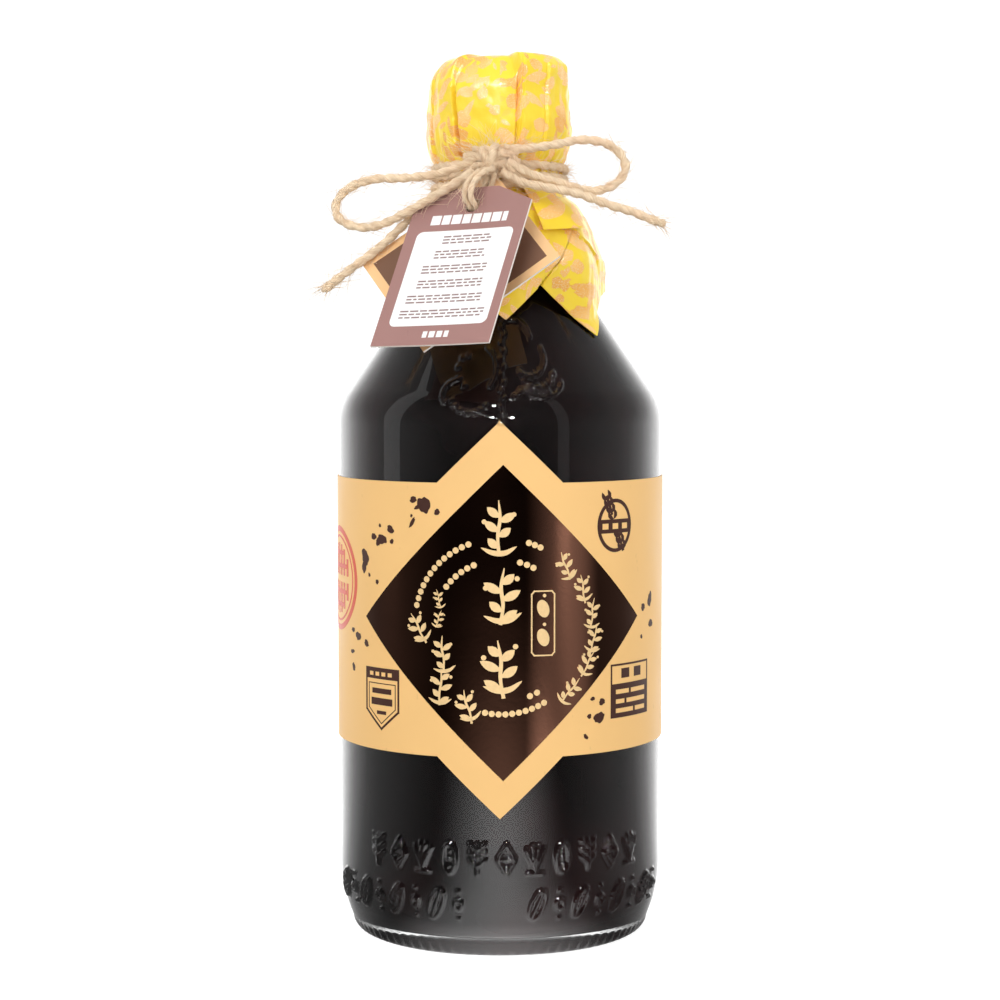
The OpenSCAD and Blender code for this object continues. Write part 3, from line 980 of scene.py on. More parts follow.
def shoulder_sprig():
    """A sprig on the shoulder in (arc, height): a beaded stem, beaded arcs and curled leaves."""
    beads = [(0.2 + 0.5 * (k % 2), 120.2 + 1.75 * k) for k in range(14)]
    for cx, cy, a, b, start, end, count in ((-6.6, 126.6, 4.6, 4.4, 3.5, 5.6, 7),
                                            (-7.4, 131.5, 2.0, 3.4, 1.4, 4.4, 5),
                                            (7.6, 124.0, 5.0, 3.6, 0.9, 2.6, 6),
                                            (8.6, 131.0, 3.4, 3.2, 3.6, 6.2, 6)):
        t = np.linspace(start, end, count)
        beads += list(zip(cx + a * np.cos(t), cy + b * np.sin(t)))
    curls = ((-8.6, 126.0, 4.4, 3.6, 1.7, 3.6), (9.4, 129.0, 4.6, 3.4, 3.6, 6.2),
             (6.6, 134.0, 3.4, 3.8, 4.0, 7.0), (2.2, 138.0, 4.6, 5.0, 0.2, 1.9),
             (-3.6, 132.0, 2.8, 4.6, 5.2, 7.6))
    lines = [line for curl in curls for line in arc_strokes(*curl, 7)]
    return [([bead(x, y) for x, y in beads], 0.8), (lines, 0.55)]


class BOTTLE_OT_glass(bpy.types.Operator):
    """Make the glass with its pressed ornaments and knurled foot"""
    bl_idname = "bottle.glass"
    bl_label = "Glass"

    def execute(self, context):
        """The profile turned round the axis; the outside is raised by the ornaments' height.
        Columns are closer together in front, where the ornaments are."""
        sizes = context.scene.soy_bottle.glass
        shape = Profile(sizes)
        outer = shape.outside()
        inner = shape.inside(0, shape.punt + shape.floor, shape.mouth_z - 0.8)[::-1]
        r, z = outer[:, :1], outer[:, 1:]
        even = np.linspace(-1, 1, sizes.columns, endpoint=False)
        azimuth = pi * (0.46 * even + 0.54 * even ** 3)[None, :]
        height = np.zeros((len(outer), sizes.columns))
        for strokes, half in lower_band_strokes():
            mark = stroke_height(azimuth * shape.body_radius, z, strokes, half)
            height = np.maximum(height, mark * (z > 5))
        for strokes, half in shoulder_sprig():
            mark = stroke_height(azimuth * r, z, strokes, half)
            height = np.maximum(height, 1.3 * mark * (z > 118))
        knurl = (0.5 + 0.5 * np.cos(KNURLS * azimuth)) * np.exp(-((z - 1.5) / 1.1) ** 2)
        knurl = knurl * (r > shape.foot_radius - 1)
        radius = r + height * sizes.relief / MM + 0.35 * knurl
        points = np.vstack([around(radius, azimuth, z), around(inner[:, :1], azimuth, inner[:, 1:])])
        solid = skin(points, [0, 0, outer[0, 1]], [0, 0, inner[-1, 1]])
        piece("bottle", solid, [glass_material()], ["bottle"])
        return {"FINISHED"}


class BOTTLE_OT_sauce(bpy.types.Operator):
    """Fill the glass with sauce, reaching just into the wall"""
    bl_idname = "bottle.sauce"
    bl_label = "Sauce"

    def execute(self, context):
        """The inside of the glass moved outwards by the bite, turned round the axis."""
        sizes = context.scene.soy_bottle.glass
        shape = Profile(sizes)
        bite = sizes.sauce_bite / MM
        level = shape.neck_z + sizes.sauce_rise / MM
        rows = shape.inside(-bite, shape.punt + shape.floor - bite, level)
        azimuth = np.linspace(-pi, pi, 144, endpoint=False)[None, :]
        points = around(rows[:, :1], azimuth, rows[:, 1:])
        solid = skin(points, [0, 0, rows[0, 1]], [0, 0, level - 0.1])
        piece("sauce", solid, [sauce_material(sizes)], ["sauce"])
        return {"FINISHED"}


# ---------------------------------------------------------------- label


# How far the paper laps over itself, and the glossy diamond's middle and half width and height.
LAP = 5.0
DARK_DIAMOND = (0.7, 75.8, 35.6, 35.1)


def disc(x, y, a, b=None, turn=0.0, steps=9, uneven=0.0, rng=None):
    """A square grid rounded into an oval: x = a p sqrt(1 - q^2 / 2), y = b q sqrt(1 - p^2 / 2).
    uneven pulls its edge in and out like a drop's."""
    b = a if b is None else b
    p, q = np.meshgrid(np.linspace(-1, 1, steps), np.linspace(-1, 1, steps))
    u, v = p * np.sqrt(1 - q * q / 2), q * np.sqrt(1 - p * p / 2)
    if uneven:
        t = np.arctan2(v, u)
        swell = sum(np.sin(k * t + rng.uniform(0, 6.28)) / k ** 0.6 for k in (2, 3, 5, 7))
        u, v = u * (1 + uneven * swell), v * (1 + uneven * swell)
    u, v = a * u, b * v
    return x + u * np.cos(turn) - v * np.sin(turn), y + u * np.sin(turn) + v * np.cos(turn)


def bar(x0, y0, x1, y1):
    """An upright rectangle between two corners, with a column every 1.5 mm or so."""
    cols = max(2, int(abs(x1 - x0) / 1.5) + 2)
    return np.meshgrid(np.linspace(x0, x1, cols), np.linspace(y0, y1, 2))


def stroke(points, width, ends=(0.0, 0.0), belly=0.5):
    """A ribbon along a smooth curve. Its half width swells as sin(pi t)^belly between the ends,
    which keep their own share of it."""
    p = np.asarray(points, float)
    reach = np.linalg.norm(np.diff(p, axis=0), axis=1).sum()
    line = curve_points(p, max(6, int(reach / 0.5)))
    way = unit(np.gradient(line, axis=0))
    side = np.stack([-way[:, 1], way[:, 0]], -1)
    t = np.linspace(0, 1, len(line))
    keep = ends[0] * (1 - t) + ends[1] * t
    half = width / 2 * np.maximum(np.sin(pi * t) ** belly, np.maximum(keep, 0.04))
    across = np.linspace(-1, 1, 3)[:, None]
    return (line[:, 0] + across * half * side[:, 0], line[:, 1] + across * half * side[:, 1])


def outline(corners, width):
    """Straight strips round a polygon, each running past its ends by half its width."""
    p = np.asarray(corners, float)
    parts = []
    for a, b in zip(p, np.roll(p, -1, axis=0)):
        way = (b - a) / np.linalg.norm(b - a)
        side = np.array([-way[1], way[0]]) * width / 2
        a, b = a - way * width / 2, b + way * width / 2
        count = max(2, int(np.linalg.norm(b - a) / 1.5) + 2)
        line = a + np.linspace(0, 1, count)[:, None] * (b - a)
        parts.append(tuple(np.stack([line[:, k] - side[k], line[:, k] + side[k]]) for k in (0, 1)))
    return parts


def oval(x, y, a, b, width, count=48):
    """A band between two ovals. Its last value says that it is a ring."""
    t = np.linspace(0, 2 * pi, count, endpoint=False)
    k = np.array([-0.5, 0.5])[:, None] * width
    return x + (a + k) * np.cos(t), y + (b + k) * np.sin(t), True


def printed(name, shapes, place, low, high, ink, slot):
    """Print as thin solids from height low to high over a surface."""
    parts = [slab(u, v, place, low, high, *ring) for u, v, *ring in shapes]
    piece(name, join(parts), [ink], crease=40)


def turned(shapes, x, y, angle=0.0, scale=1.0):
    """Shapes drawn about the origin, scaled, turned and moved to (x, y)."""
    c, s = np.cos(angle) * scale, np.sin(angle) * scale
    return [(x + u * c - v * s, y + u * s + v * c) for u, v in shapes]


def sprig(kind):
    """A small plant drawn with a brush, about 9 wide and 12 high: a stem, tapering leaves and a
    pod whose beans show as round dots."""
    lean = 0.5 if kind % 2 else -0.4
    parts = [stroke([(-0.6 * lean, -6), (0.5 * lean, -2), (-0.3 * lean, 2), (lean, 6)], 0.8,
                    (1, 0.3))]
    leaf_sets = (((-1, 3.6, 2.9), (1, 2.6, 3.6), (-1, 0.4, 3.4), (1, -0.8, 2.6), (-1, -3.4, 2.4)),
                 ((1, 4.0, 2.6), (-1, 2.2, 3.8), (1, 0.6, 3.9), (-1, -1.8, 2.6), (1, -3.6, 3.2)),
                 ((-1, 4.2, 2.4), (1, 3.2, 3.0), (-1, 1.2, 4.2), (1, -0.2, 3.4), (-1, -2.8, 3.6)))
    for side, y, reach in leaf_sets[kind % 3]:
        parts.append(stroke([(0, y - 1.4), (side * reach * 0.5, y - 0.5), (side * reach, y + 0.7)],
                            1.9, (0.1, 0), belly=0.8))
    y = -4.6 + 0.8 * (kind % 3)
    parts.append(stroke([(-3.8, y - 0.3), (-1.2, y - 1.3), (1.6, y - 1.2), (4.2, y + 0.4)], 1.25,
                        (0.1, 0), belly=0.6))
    return parts + [disc(x, y + 6.6 + 0.3 * x, 0.55, steps=5) for x in (-3.4, 3.2)]


def arc_beads(x, y, radius, start, end, count):
    """Round dots along an arc; angles in degrees."""
    t = np.radians(np.linspace(start, end, count))
    return [disc(x + radius * np.cos(a), y + radius * np.sin(a), 0.69, steps=7) for a in t]


def foil_shapes():
    """Pale print on the dark diamond: dotted arcs, sprigs down the middle and to the left, small
    sprigs round the right and a rounded frame with two beans."""
    shapes = arc_beads(0.2, 74.6, 20.0, 111, 166, 13) + arc_beads(0.2, 74.6, 20.0, 64, 72, 3)
    shapes += arc_beads(0.2, 74.6, 15.3, 113, 143, 6) + arc_beads(0.2, 74.6, 15.3, 62, 74, 3)
    shapes += arc_beads(0.4, 75.0, 19.4, 259, 299, 10) + arc_beads(0.4, 75.0, 16.6, 292, 298, 2)
    for kind, (x, y, size) in enumerate(((-0.2, 97.2, 0.98), (0.4, 81.8, 1.05), (0.2, 65.6, 1.08))):
        shapes += turned(sprig(kind), x, y, 0.05 * (kind - 1), size)
    for kind, (x, y, size, angle) in enumerate(((-13.8, 81.2, 0.34, 0.2), (-13.9, 76.6, 0.34, -0.3),
                                                (-18.7, 74.3, 0.62, 0.5), (-12.9, 68.9, 0.66, 0.1),
                                                (-13.4, 61.4, 0.68, -0.1), (-7.2, 57.2, 0.64, 0.3))):
        shapes += turned(sprig(kind), x, y, angle, size)
    for kind, (x, y) in enumerate(((14.8, 88.3), (19.2, 83.0), (21.6, 77.6), (22.1, 71.8),
                                   (20.4, 66.2), (16.2, 60.6))):
        angle = np.arctan2(y - 74.5, x) * 0.8 - 0.2
        shapes += turned(sprig(kind + 1), x, y, angle, 0.54)
    frame_corners = [(7.6, 82.9), (11.6, 82.9), (12.2, 82.2), (12.2, 69.3), (11.6, 68.6),
                     (7.6, 68.6), (7.0, 69.3), (7.0, 82.2)]
    shapes += outline(frame_corners, 0.32)
    for y in (79.0, 72.6):
        shapes += [disc(9.6, y, 1.35, 2.0, 0.3), disc(9.9, y + 2.9, 0.4, steps=5)]
    return shapes


# Drops of the splatter: place, half width, half height and turn.
DROPS = ((-17.4, 101.8, 1.5, 1.9, 0.2), (-20.1, 102.9, 0.9, 0.7, 0), (-14.2, 100.3, 0.6, 0.75, 0),
         (-20.4, 97.8, 0.4, 1.4, -0.5), (-18.9, 101.3, 0.9, 0.5, 0.4), (-20.6, 99.3, 0.3, 0.35, 0),
         (-29.2, 93.6, 1.5, 1.1, -0.3), (-31.9, 94.1, 0.9, 0.7, 0.3), (-30.4, 92.9, 0.7, 0.9, 0),
         (-26.5, 96.0, 0.8, 1.1, 0.6), (-26.1, 93.3, 0.55, 0.55, 0), (-29.8, 96.7, 0.35, 0.45, 0),
         (-35.2, 89.2, 1.2, 2.0, 0.2), (-35.6, 87.0, 0.9, 1.3, -0.3), (-33.6, 85.3, 0.35, 0.5, 0.7),
         (-30.8, 83.9, 0.45, 0.6, 0), (-38.3, 70.9, 1.2, 0.9, 0), (-40.8, 72.1, 0.7, 0.6, 0),
         (-34.8, 69.6, 0.9, 0.7, -0.6), (-41.2, 67.1, 0.9, 0.5, 0.2), (-40.6, 63.6, 0.7, 0.9, 0.4),
         (42.4, 79.0, 1.0, 1.7, -0.2), (38.9, 77.5, 0.8, 0.9, 0.5), (43.0, 73.4, 1.1, 0.9, 0.3),
         (38.2, 70.8, 0.4, 0.5, 0), (24.4, 57.3, 0.9, 0.7, 0.3), (21.8, 58.2, 0.6, 0.45, 0),
         (23.6, 53.8, 1.6, 1.1, 0.5), (20.9, 54.3, 0.5, 0.6, 0), (20.0, 49.8, 0.45, 0.7, 0.6))


def brown_shapes(rng):
    """Brown print on the cream paper: the splatter, a shield, a box, and an oval with an ear of
    grain behind its bar."""
    patches = [disc(x, y, a, b, turn, 13, 0.14, rng) for x, y, a, b, turn in DROPS]
    patches += outline([(-34.7, 64.2), (-24.3, 64.2), (-24.3, 54.8), (-29.5, 50.6),
                        (-34.7, 54.8)], 0.5)
    patches += outline([(-33.8, 60.9), (-25.2, 60.9), (-25.2, 55.3), (-29.5, 51.8),
                        (-33.8, 55.3)], 0.22)
    patches += [bar(-34.7, 61.9, -24.3, 64.2), bar(-32.6, 58.6, -26.4, 59.8),
                bar(-32.9, 56.0, -26.1, 57.6), bar(-31.0, 53.9, -28.0, 54.7)]
    patches += outline([(27.2, 65.2), (40.9, 65.2), (40.9, 53.4), (27.2, 53.4)], 0.45)
    patches += [bar(27.2, 53.4, 40.9, 60.9), bar(30.4, 62.1, 33.2, 64.3),
                bar(35.0, 62.1, 37.8, 64.3), bar(23.2, 95.1, 33.4, 98.2)]
    patches += [stroke([(25.6, 103.6), (27.3, 99.2)], 0.8, (1, 0.8)),
                stroke([(28.9, 95.6), (30.9, 91.0)], 0.8, (0.8, 1))]
    for t in (0.0, 0.12, 0.24, 0.36, 0.7, 0.82, 0.94):
        x, y = 25.9 + 5.1 * t, 102.6 - 12.0 * t
        for side in (-1, 1):
            patches.append(stroke([(x, y), (x + side * 0.85 - 0.2, y + 0.8 + 0.3 * side),
                                   (x + side * 0.8 - 0.8, y + 2.0 + 0.3 * side)], 1.0, belly=0.8))
    return patches + [oval(28.3, 96.8, 4.9, 5.6, 0.85)]


def cream_shapes():
    """Pale marks inside the brown fields: short bars and rows of bars."""
    patches = [bar(x, 96.0, x + 1.7, 97.3) for x in (24.4, 27.4, 30.4)]
    patches += [bar(x, 62.6, x + 1.2, 63.5) for x in (-33.4, -31.4, -29.4, -27.4)]
    for y, break_x in ((59.1, 33.0), (56.9, 31.4), (54.8, 34.6)):
        patches += [bar(28.6, y - 0.5, break_x, y + 0.5), bar(break_x + 0.8, y - 0.5, 39.5, y + 0.5)]
    return patches


def seal_shapes():
    """The round red seal: a ring, a finer ring and a lattice of upright and level bars in it."""
    x, y = -51.4, 83.2
    patches = []
    for k in range(-3, 4):
        half = 8.2 * np.sqrt(max(0.05, 1 - (k / 3.7) ** 2))
        left, right = x + 2.4 * k - 0.6, x + 2.4 * k + 0.6
        patches += [bar(left, y - half, right, y - 0.8), bar(left, y + 0.8, right, y + half)]
    for k in (-2, -1, 1, 2):
        patches.append(bar(x - 7.4 + abs(k), y + 3.0 * k - 0.5, x + 7.4 - abs(k), y + 3.0 * k + 0.5))
    return patches + [oval(x, y, 12.0, 11.5, 1.3, 72), oval(x, y, 10.3, 9.8, 0.5, 72)]


class BOTTLE_OT_label(bpy.types.Operator):
    """Wrap the printed label round the body"""
    bl_idname = "bottle.label"
    bl_label = "Label"

    def execute(self, context):
        """The paper is a strip of columns at azimuth u / radius, each from the lower to the upper
        edge; its last few millimetres lap over its first. Print lies on it as thin solids."""
        sizes = context.scene.soy_bottle.label
        body = Profile(context.scene.soy_bottle.glass).body_radius + sizes.gap / MM
        paper, ink = sizes.paper / MM, sizes.ink / MM
        base, top = sizes.foot / MM, (sizes.foot + sizes.band) / MM
        tip, reach = sizes.tip / MM, sizes.reach / MM
        middle, half_turn = (base + top) / 2, pi * body

        def on_body(u, v, h):
            lift = (paper + 0.02) * smoothstep(half_turn - LAP - 1.5, half_turn - LAP + 0.5, u)
            return around(body + h + lift, u / body, v)

        notch = reach * (1 - (top - middle) / tip)
        columns = np.concatenate([np.linspace(-half_turn, -notch, 110, endpoint=False),
                                  np.linspace(-notch, 0, 20, endpoint=False),
                                  np.linspace(0, notch, 20, endpoint=False),
                                  np.linspace(notch, half_turn + LAP, 116)])
        edge = tip * (1 - np.abs(columns) / reach)
        low, high = np.minimum(base, middle - edge), np.maximum(top, middle + edge)
        v = low + np.linspace(0, 1, 13)[:, None] * (high - low)
        u = np.broadcast_to(columns, v.shape)
        uv = np.stack([u.ravel(), v.ravel()], -1)
        piece("label", slab(u, v, on_body, 0.0, paper),
              [paper_material("cream_paper", sizes.cream, 0.5)], ["label"],
              np.vstack([uv, uv]), crease=40)

        p, q = np.meshgrid(np.linspace(0, 1, 41), np.linspace(0, 1, 41))
        mid_u, mid_v, wide, tall = DARK_DIAMOND
        diamond = (mid_u + wide * (p + q - 1), mid_v + tall * (q - p))
        rng = np.random.default_rng(SEED + 1)
        for name, shapes, made, level in (
                ("label_diamond", [diamond], dark_gloss_material(sizes), 1),
                ("label_foil", foil_shapes(), foil_material(sizes), 2),
                ("label_brown", brown_shapes(rng), paper_material("brown_ink", sizes.brown, 0.5), 1),
                ("label_pale", cream_shapes(), paper_material("pale_ink", sizes.cream, 0.42, 0.1), 2),
                ("label_seal", seal_shapes(), paper_material("red_ink", sizes.red, 0.45), 1)):
            printed(name, shapes, on_body, paper - 0.05, paper + level * ink, made, "label_paper")
        return {"FINISHED"}


# ---------------------------------------------------------------- paper hood


# Outline of the hem: azimuth in degrees and the drop below the twine in millimetres.
HEM = ((3, 33.3), (23, 25.2), (53, 36.8), (80, 28), (110, 24), (140, 28), (165, 36), (190, 28),
       (215, 24.5), (240, 29), (262, 35.5), (285, 28), (318, 25), (345, 27), (363, 33.3))
# Side of the skirt: drop and radius beyond the neck.
FLARE = ((0, 1.25), (3.2, 1.3), (4.6, 2.6), (6.4, 4.8), (9, 6.4), (12, 7.8), (19, 9.9), (24, 10.4),
         (31, 11.1), (60, 14))
# Sides of the head, from its middle down to the waist: a square shoulder, a round one and the
# long slope of the front panel. Radius and height below the top.
HEAD_WAIST = ((14.9, 24.8), (14.72, 27), (14.72, 32))
HEAD_SIDE = ((16.4, 13.9), (16.5, 17.2), (16.2, 20), (15.6, 22.6)) + HEAD_WAIST
HEAD_SQUARE = ((1, 0.5), (6, 0.1), (11, 0), (13.6, 0.3), (15.1, 1.5), (15.7, 3.6), (15.9, 6.6),
               (16.1, 9.7)) + HEAD_SIDE
HEAD_ROUND = ((1, 0.5), (6, 0.2), (9.8, 0.2), (12.4, 0.9), (14.1, 2.3), (15.1, 4.1), (15.8, 6.6),
              (16.1, 9.7), (16.3, 13.9), (16.4, 17.2), (16.1, 20), (15.5, 22.6)) + HEAD_WAIST
HEAD_SLOPE = ((1, 0.5), (5, 0.3), (8.6, 0.4), (11.2, 1.2), (13.2, 3.2), (14.8, 5.6), (16.1, 7.6),
              (16.3, 9.9)) + HEAD_SIDE
HEAD_FOLD, SKIRT_FOLD = (205, 190, 176), (172, 160, 148)
# Pleats: heights and azimuths of the fold's line, height of the step, how far it fades, and the
# side that lies on top (+1 towards greater azimuth).
PLEATS = ((HEAD_FOLD, (-45, -38, -34), 0.9, 4.0, -1),
          (HEAD_FOLD, (-40, -35.5, -32), 0.6, 2.6, 1),
          (HEAD_FOLD, (17.4, 15, 13), 0.95, 5.0, 1),
          (HEAD_FOLD, (21.5, 18.2, 15.6), 0.4, 1.5, 1),
          ((201, 188, 178), (44, 39, 36), 0.42, 2.5, 1),
          (HEAD_FOLD, (74, 70, 66), 0.7, 6.0, -1),
          (HEAD_FOLD, (110, 104, 101), 0.6, 5.0, 1),
          (HEAD_FOLD, (146, 150, 152), 0.7, 6.0, -1),
          (HEAD_FOLD, (188, 184, 181), 0.6, 5.0, 1),
          (HEAD_FOLD, (228, 224, 221), 0.65, 5.0, -1),
          (HEAD_FOLD, (262, 266, 268), 0.6, 5.5, 1),
          (HEAD_FOLD, (287, 288, 290), 0.45, 5.0, -1),
          ((171.6, 166, 162, 158), (38, 45, 53, 80), 0.9, 4.5, 1),
          ((163.5, 157, 150), (48, 36, 21), 0.8, 7.0, -1),
          (SKIRT_FOLD, (96, 98, 104), 0.8, 6.0, -1),
          (SKIRT_FOLD, (128, 132, 137), 0.7, 6.0, 1),
          (SKIRT_FOLD, (186, 184, 180), 0.9, 7.0, -1),
          (SKIRT_FOLD, (214, 216, 215), 0.7, 6.0, 1),
          (SKIRT_FOLD, (252, 250, 247), 0.8, 6.0, -1),
          (SKIRT_FOLD, (296, 300, 305), 0.8, 6.0, 1),
          (SKIRT_FOLD, (334, 336, 338), 0.7, 6.0, -1))


# Corners of the folded-over flap, in azimuth and height: its upper edge and its hem.
FLAP = (((20, 173.6), (58, 173.6)), ((25.6, 163.2), (55.6, 164.0)))
HEAD_ROWS, SKIRT_ROWS = 74, 60
SKIRT_START = 3.6
DRAWN_WAIST = 14.73
# The printed pattern runs round the hood as if on a circle of this radius.
PRINT_RADIUS = 16.0


def turn_gap(azimuth, line):
    """Azimuth minus line, brought into -180..180 degrees."""
    return (azimuth - line + 180) % 360 - 180


def fold_height(azimuth, radius, z):
    """Sum of the pleats' steps: each rises at once at its line, then fades over its reach, and
    fades out above and below the line's ends."""
    total = np.zeros(np.broadcast(azimuth, z).shape)
    for heights, lines, step, reach, side in PLEATS:
        line = np.interp(z, heights[::-1], lines[::-1])
        x = side * np.radians(turn_gap(azimuth, line)) * np.maximum(radius, 6)
        inside = smoothstep(heights[-1] - 3, heights[-1] + 0.5, z) * (
            1 - smoothstep(heights[0] - 0.2, heights[0] + 1.2, z))
        total += inside * (step * smoothstep(-0.14, 0.14, x) * np.exp(-np.clip(x, 0, None) / reach)
                           - 0.75 * step * np.exp(-((x + 0.32) / 0.3) ** 2))
    return total


def crumple(points, rng, size, folds):
    """Facets of creased paper, about -1 to 1: a sum of triangle waves in chance directions."""
    total = np.zeros(points.shape[:-1])
    for _ in range(folds):
        way = unit(rng.normal(size=3))
        phase = points @ way / (size * rng.uniform(0.7, 1.6)) + rng.uniform(0, 1)
        total += np.abs(phase % 1 - 0.5) * 4 - 1
    return total / np.sqrt(folds)


def gathers(azimuth, z):
    """Fine upright wrinkles near the twine: |sin| of an uneven angle, deepest at the waist."""
    a = np.radians(azimuth)
    uneven = a * 21 + 1.9 * np.sin(3 * a + 1) + 1.3 * np.sin(7 * a + 2.2)
    near = np.exp(-np.abs(z - TIE_Z) / 4.2)
    return near * (0.55 * np.abs(np.sin(uneven)) + 0.3 * np.abs(np.sin(2.3 * uneven + 0.7)))


def skirt_radius(z, azimuth, neck, shape, paper):
    """The skirt's radius without folds: the flare with slow waves, kept off the glass."""
    drop = TIE_Z - z
    flare = np.interp(drop, *np.array(FLARE).T)
    wave = 0.7 * np.clip((drop - 6) / 8, 0, 1) * np.cos(np.radians(7 * azimuth))
    return np.maximum(neck + flare + wave, shape.radius_at(z) + paper + 0.45)


def hood_rows(sizes, shape):
    """Outer surface of the hood as grids of radius and height, before its folds."""
    az = np.linspace(0, 360, sizes.columns, endpoint=False)
    slope = smoothstep(-46, -38, turn_gap(az, 0)) * (1 - smoothstep(12, 18, turn_gap(az, 0)))
    left = (1 - slope) * smoothstep(-150, -120, turn_gap(az, 0)) * (turn_gap(az, 0) < 0)
    square = 1 - slope - left
    heads = [curve_points(rows, HEAD_ROWS) for rows in (HEAD_SQUARE, HEAD_ROUND, HEAD_SLOPE)]
    blend = sum(head[:, None, :] * share[None, :, None]
                for head, share in zip(heads, (square, left, slope)))
    head_r, head_z = blend[..., 0], HEAD_TOP - 0.5 - blend[..., 1]
    hem = np.interp((az - 3) % 360 + 3, *np.array(HEM).T)
    f = np.linspace(0, 1, SKIRT_ROWS)[1:, None]
    skirt_z = TIE_Z - (SKIRT_START + f * (hem[None, :] - SKIRT_START))
    skirt_r = skirt_radius(skirt_z, az[None, :], shape.neck_radius, shape, sizes.paper / MM)
    r, z = np.vstack([head_r, skirt_r]), np.vstack([head_z, skirt_z])
    return az, r - (DRAWN_WAIST - sizes.waist / MM) * np.exp(-((z - TIE_Z) / 4.5) ** 4), z


def outward(r, z):
    """Unit normals of the rows' outlines in the plane of the axis."""
    dr, dz = np.gradient(r, axis=0), np.gradient(z, axis=0)
    size = np.maximum(np.hypot(dr, dz), 1e-9)
    return -dz / size, dr / size


def folded_hood(sizes, shape, rng):
    """Adds pleats, gathers and creases along the normals. Returns radius and height grids."""
    az, r, z = hood_rows(sizes, shape)
    nr, nz = outward(r, z)
    points = around(r, np.radians(az)[None, :], z)
    ease = smoothstep(2.5, 9.0, r)
    off_waist = smoothstep(1.0, 5.0, np.abs(z - TIE_Z))
    push = fold_height(az[None, :], r, z) * (0.25 + 0.75 * off_waist) + gathers(az[None, :], z)
    push += 0.24 * off_waist * crumple(points, rng, 9.0, 6)
    push += 0.12 * off_waist * crumple(points, rng, 3.4, 5)
    ear = np.exp(-(np.radians(turn_gap(az[None, :], -44)) * 15 / 1.6) ** 2 - ((z - 202.0) / 2.0) ** 2)
    push = push * ease * (1 - 0.92 * smoothstep(0.05, 0.6, nz)) + 0.5 * ear
    folded = r + push * nr
    floor = shape.radius_at(z) + sizes.paper / MM + 0.15
    folded = np.where(z < GLASS_TOP, np.maximum(folded, floor), folded)
    return az, folded, np.where(z < TIE_Z - 3, z, z + push * nz)


def flap_solid(sizes, shape):
    """A folded-over flap in front, hanging from under the twine. A patch between four corners
    in azimuth and height, standing off the skirt and lifting towards its hem."""
    p, q = np.meshgrid(np.linspace(0, 1, 28), np.linspace(0, 1, 18))
    upper, lower = (np.array([(1 - p) * a + p * b for a, b in zip(*ends)]) for ends in FLAP)
    az, z = (1 - q) * upper + q * lower

    def place(a, height, h):
        depth = np.clip((FLAP[0][0][1] - height) / 10, 0, 1)
        lift = 0.75 + 0.9 * depth ** 2 + 0.25 * np.cos(np.radians((a - 40) * 6))
        base = skirt_radius(height, a, shape.neck_radius, shape, sizes.paper / MM)
        return around(base + lift + h, np.radians(a), height)

    return slab(az, z, place, 0.0, sizes.paper / MM), az, z


class BOTTLE_OT_hood(bpy.types.Operator):
    """Gather the printed paper over the mouth and let its skirt flare over the shoulder"""
    bl_idname = "bottle.hood"
    bl_label = "Paper hood"

    def execute(self, context):
        """Rows run down the outside from the middle of the top to the hem, and up the inside to
        the mouth. The inside is every third row of the outside, moved towards the axis by the
        paper's thickness but never into the glass."""
        settings = context.scene.soy_bottle
        sizes = settings.hood
        shape = Profile(settings.glass)
        rng = np.random.default_rng(SEED + 2)
        az, r, z = folded_hood(sizes, shape, rng)
        paper = sizes.paper / MM
        back_up = np.flatnonzero(z[:, 0] < TIE_Z - 3.4)[::-3]
        mouth = GLASS_TOP + 0.15
        ones = np.ones((1, len(az)))
        full_r = np.vstack([r, np.maximum(r[back_up] - paper, shape.radius_at(z[back_up]) + 0.12),
                            (shape.neck_radius + 0.25) * np.vstack([ones, ones])])
        full_z = np.vstack([z, z[back_up], (TIE_Z - 2.0) * ones, mouth * ones])
        turn = np.radians(az)[None, :]
        run = np.cumsum(np.vstack([0 * ones, np.hypot(np.diff(full_r, axis=0),
                                                      np.diff(full_z, axis=0))]), 0)
        uv = np.stack(np.broadcast_arrays(turn * PRINT_RADIUS, run), -1)[::-1]
        main = skin(around(full_r, turn, full_z)[::-1], [0, 0, mouth], [0, 0, z[0].mean() + 0.05])
        flap, flap_az, flap_z = flap_solid(sizes, shape)
        flap_uv = np.stack([np.radians(flap_az.ravel()) * PRINT_RADIUS + 3, 230 - flap_z.ravel()], -1)
        uvs = np.vstack([uv.reshape(-1, 2), [[0, 0], [0, 0]], flap_uv, flap_uv])
        piece("wrap", join([main, flap]), [hood_material(sizes)], ["wrap"], uvs,
              period=2 * pi * PRINT_RADIUS, crease=38)
        return {"FINISHED"}


# ---------------------------------------------------------------- cards


def card_place(origin, lean, turn, spin, curl):
    """Puts card coordinates (x across, y up, h off the face) in the model: turned in its own
    plane by spin, leaned back, turned about Z and moved to origin. It bows by curl x^2."""
    axes = np.array((Matrix.Rotation(turn, 3, "Z") @ Matrix.Rotation(lean, 3, "X")
                     @ Matrix.Rotation(spin, 3, "Y") @ Matrix.Rotation(pi / 2, 3, "X")))

    def place(x, y, h):
        local = np.stack(np.broadcast_arrays(x, y, h + curl * x ** 2), -1)
        return np.array(origin) + local @ axes.T

    return place


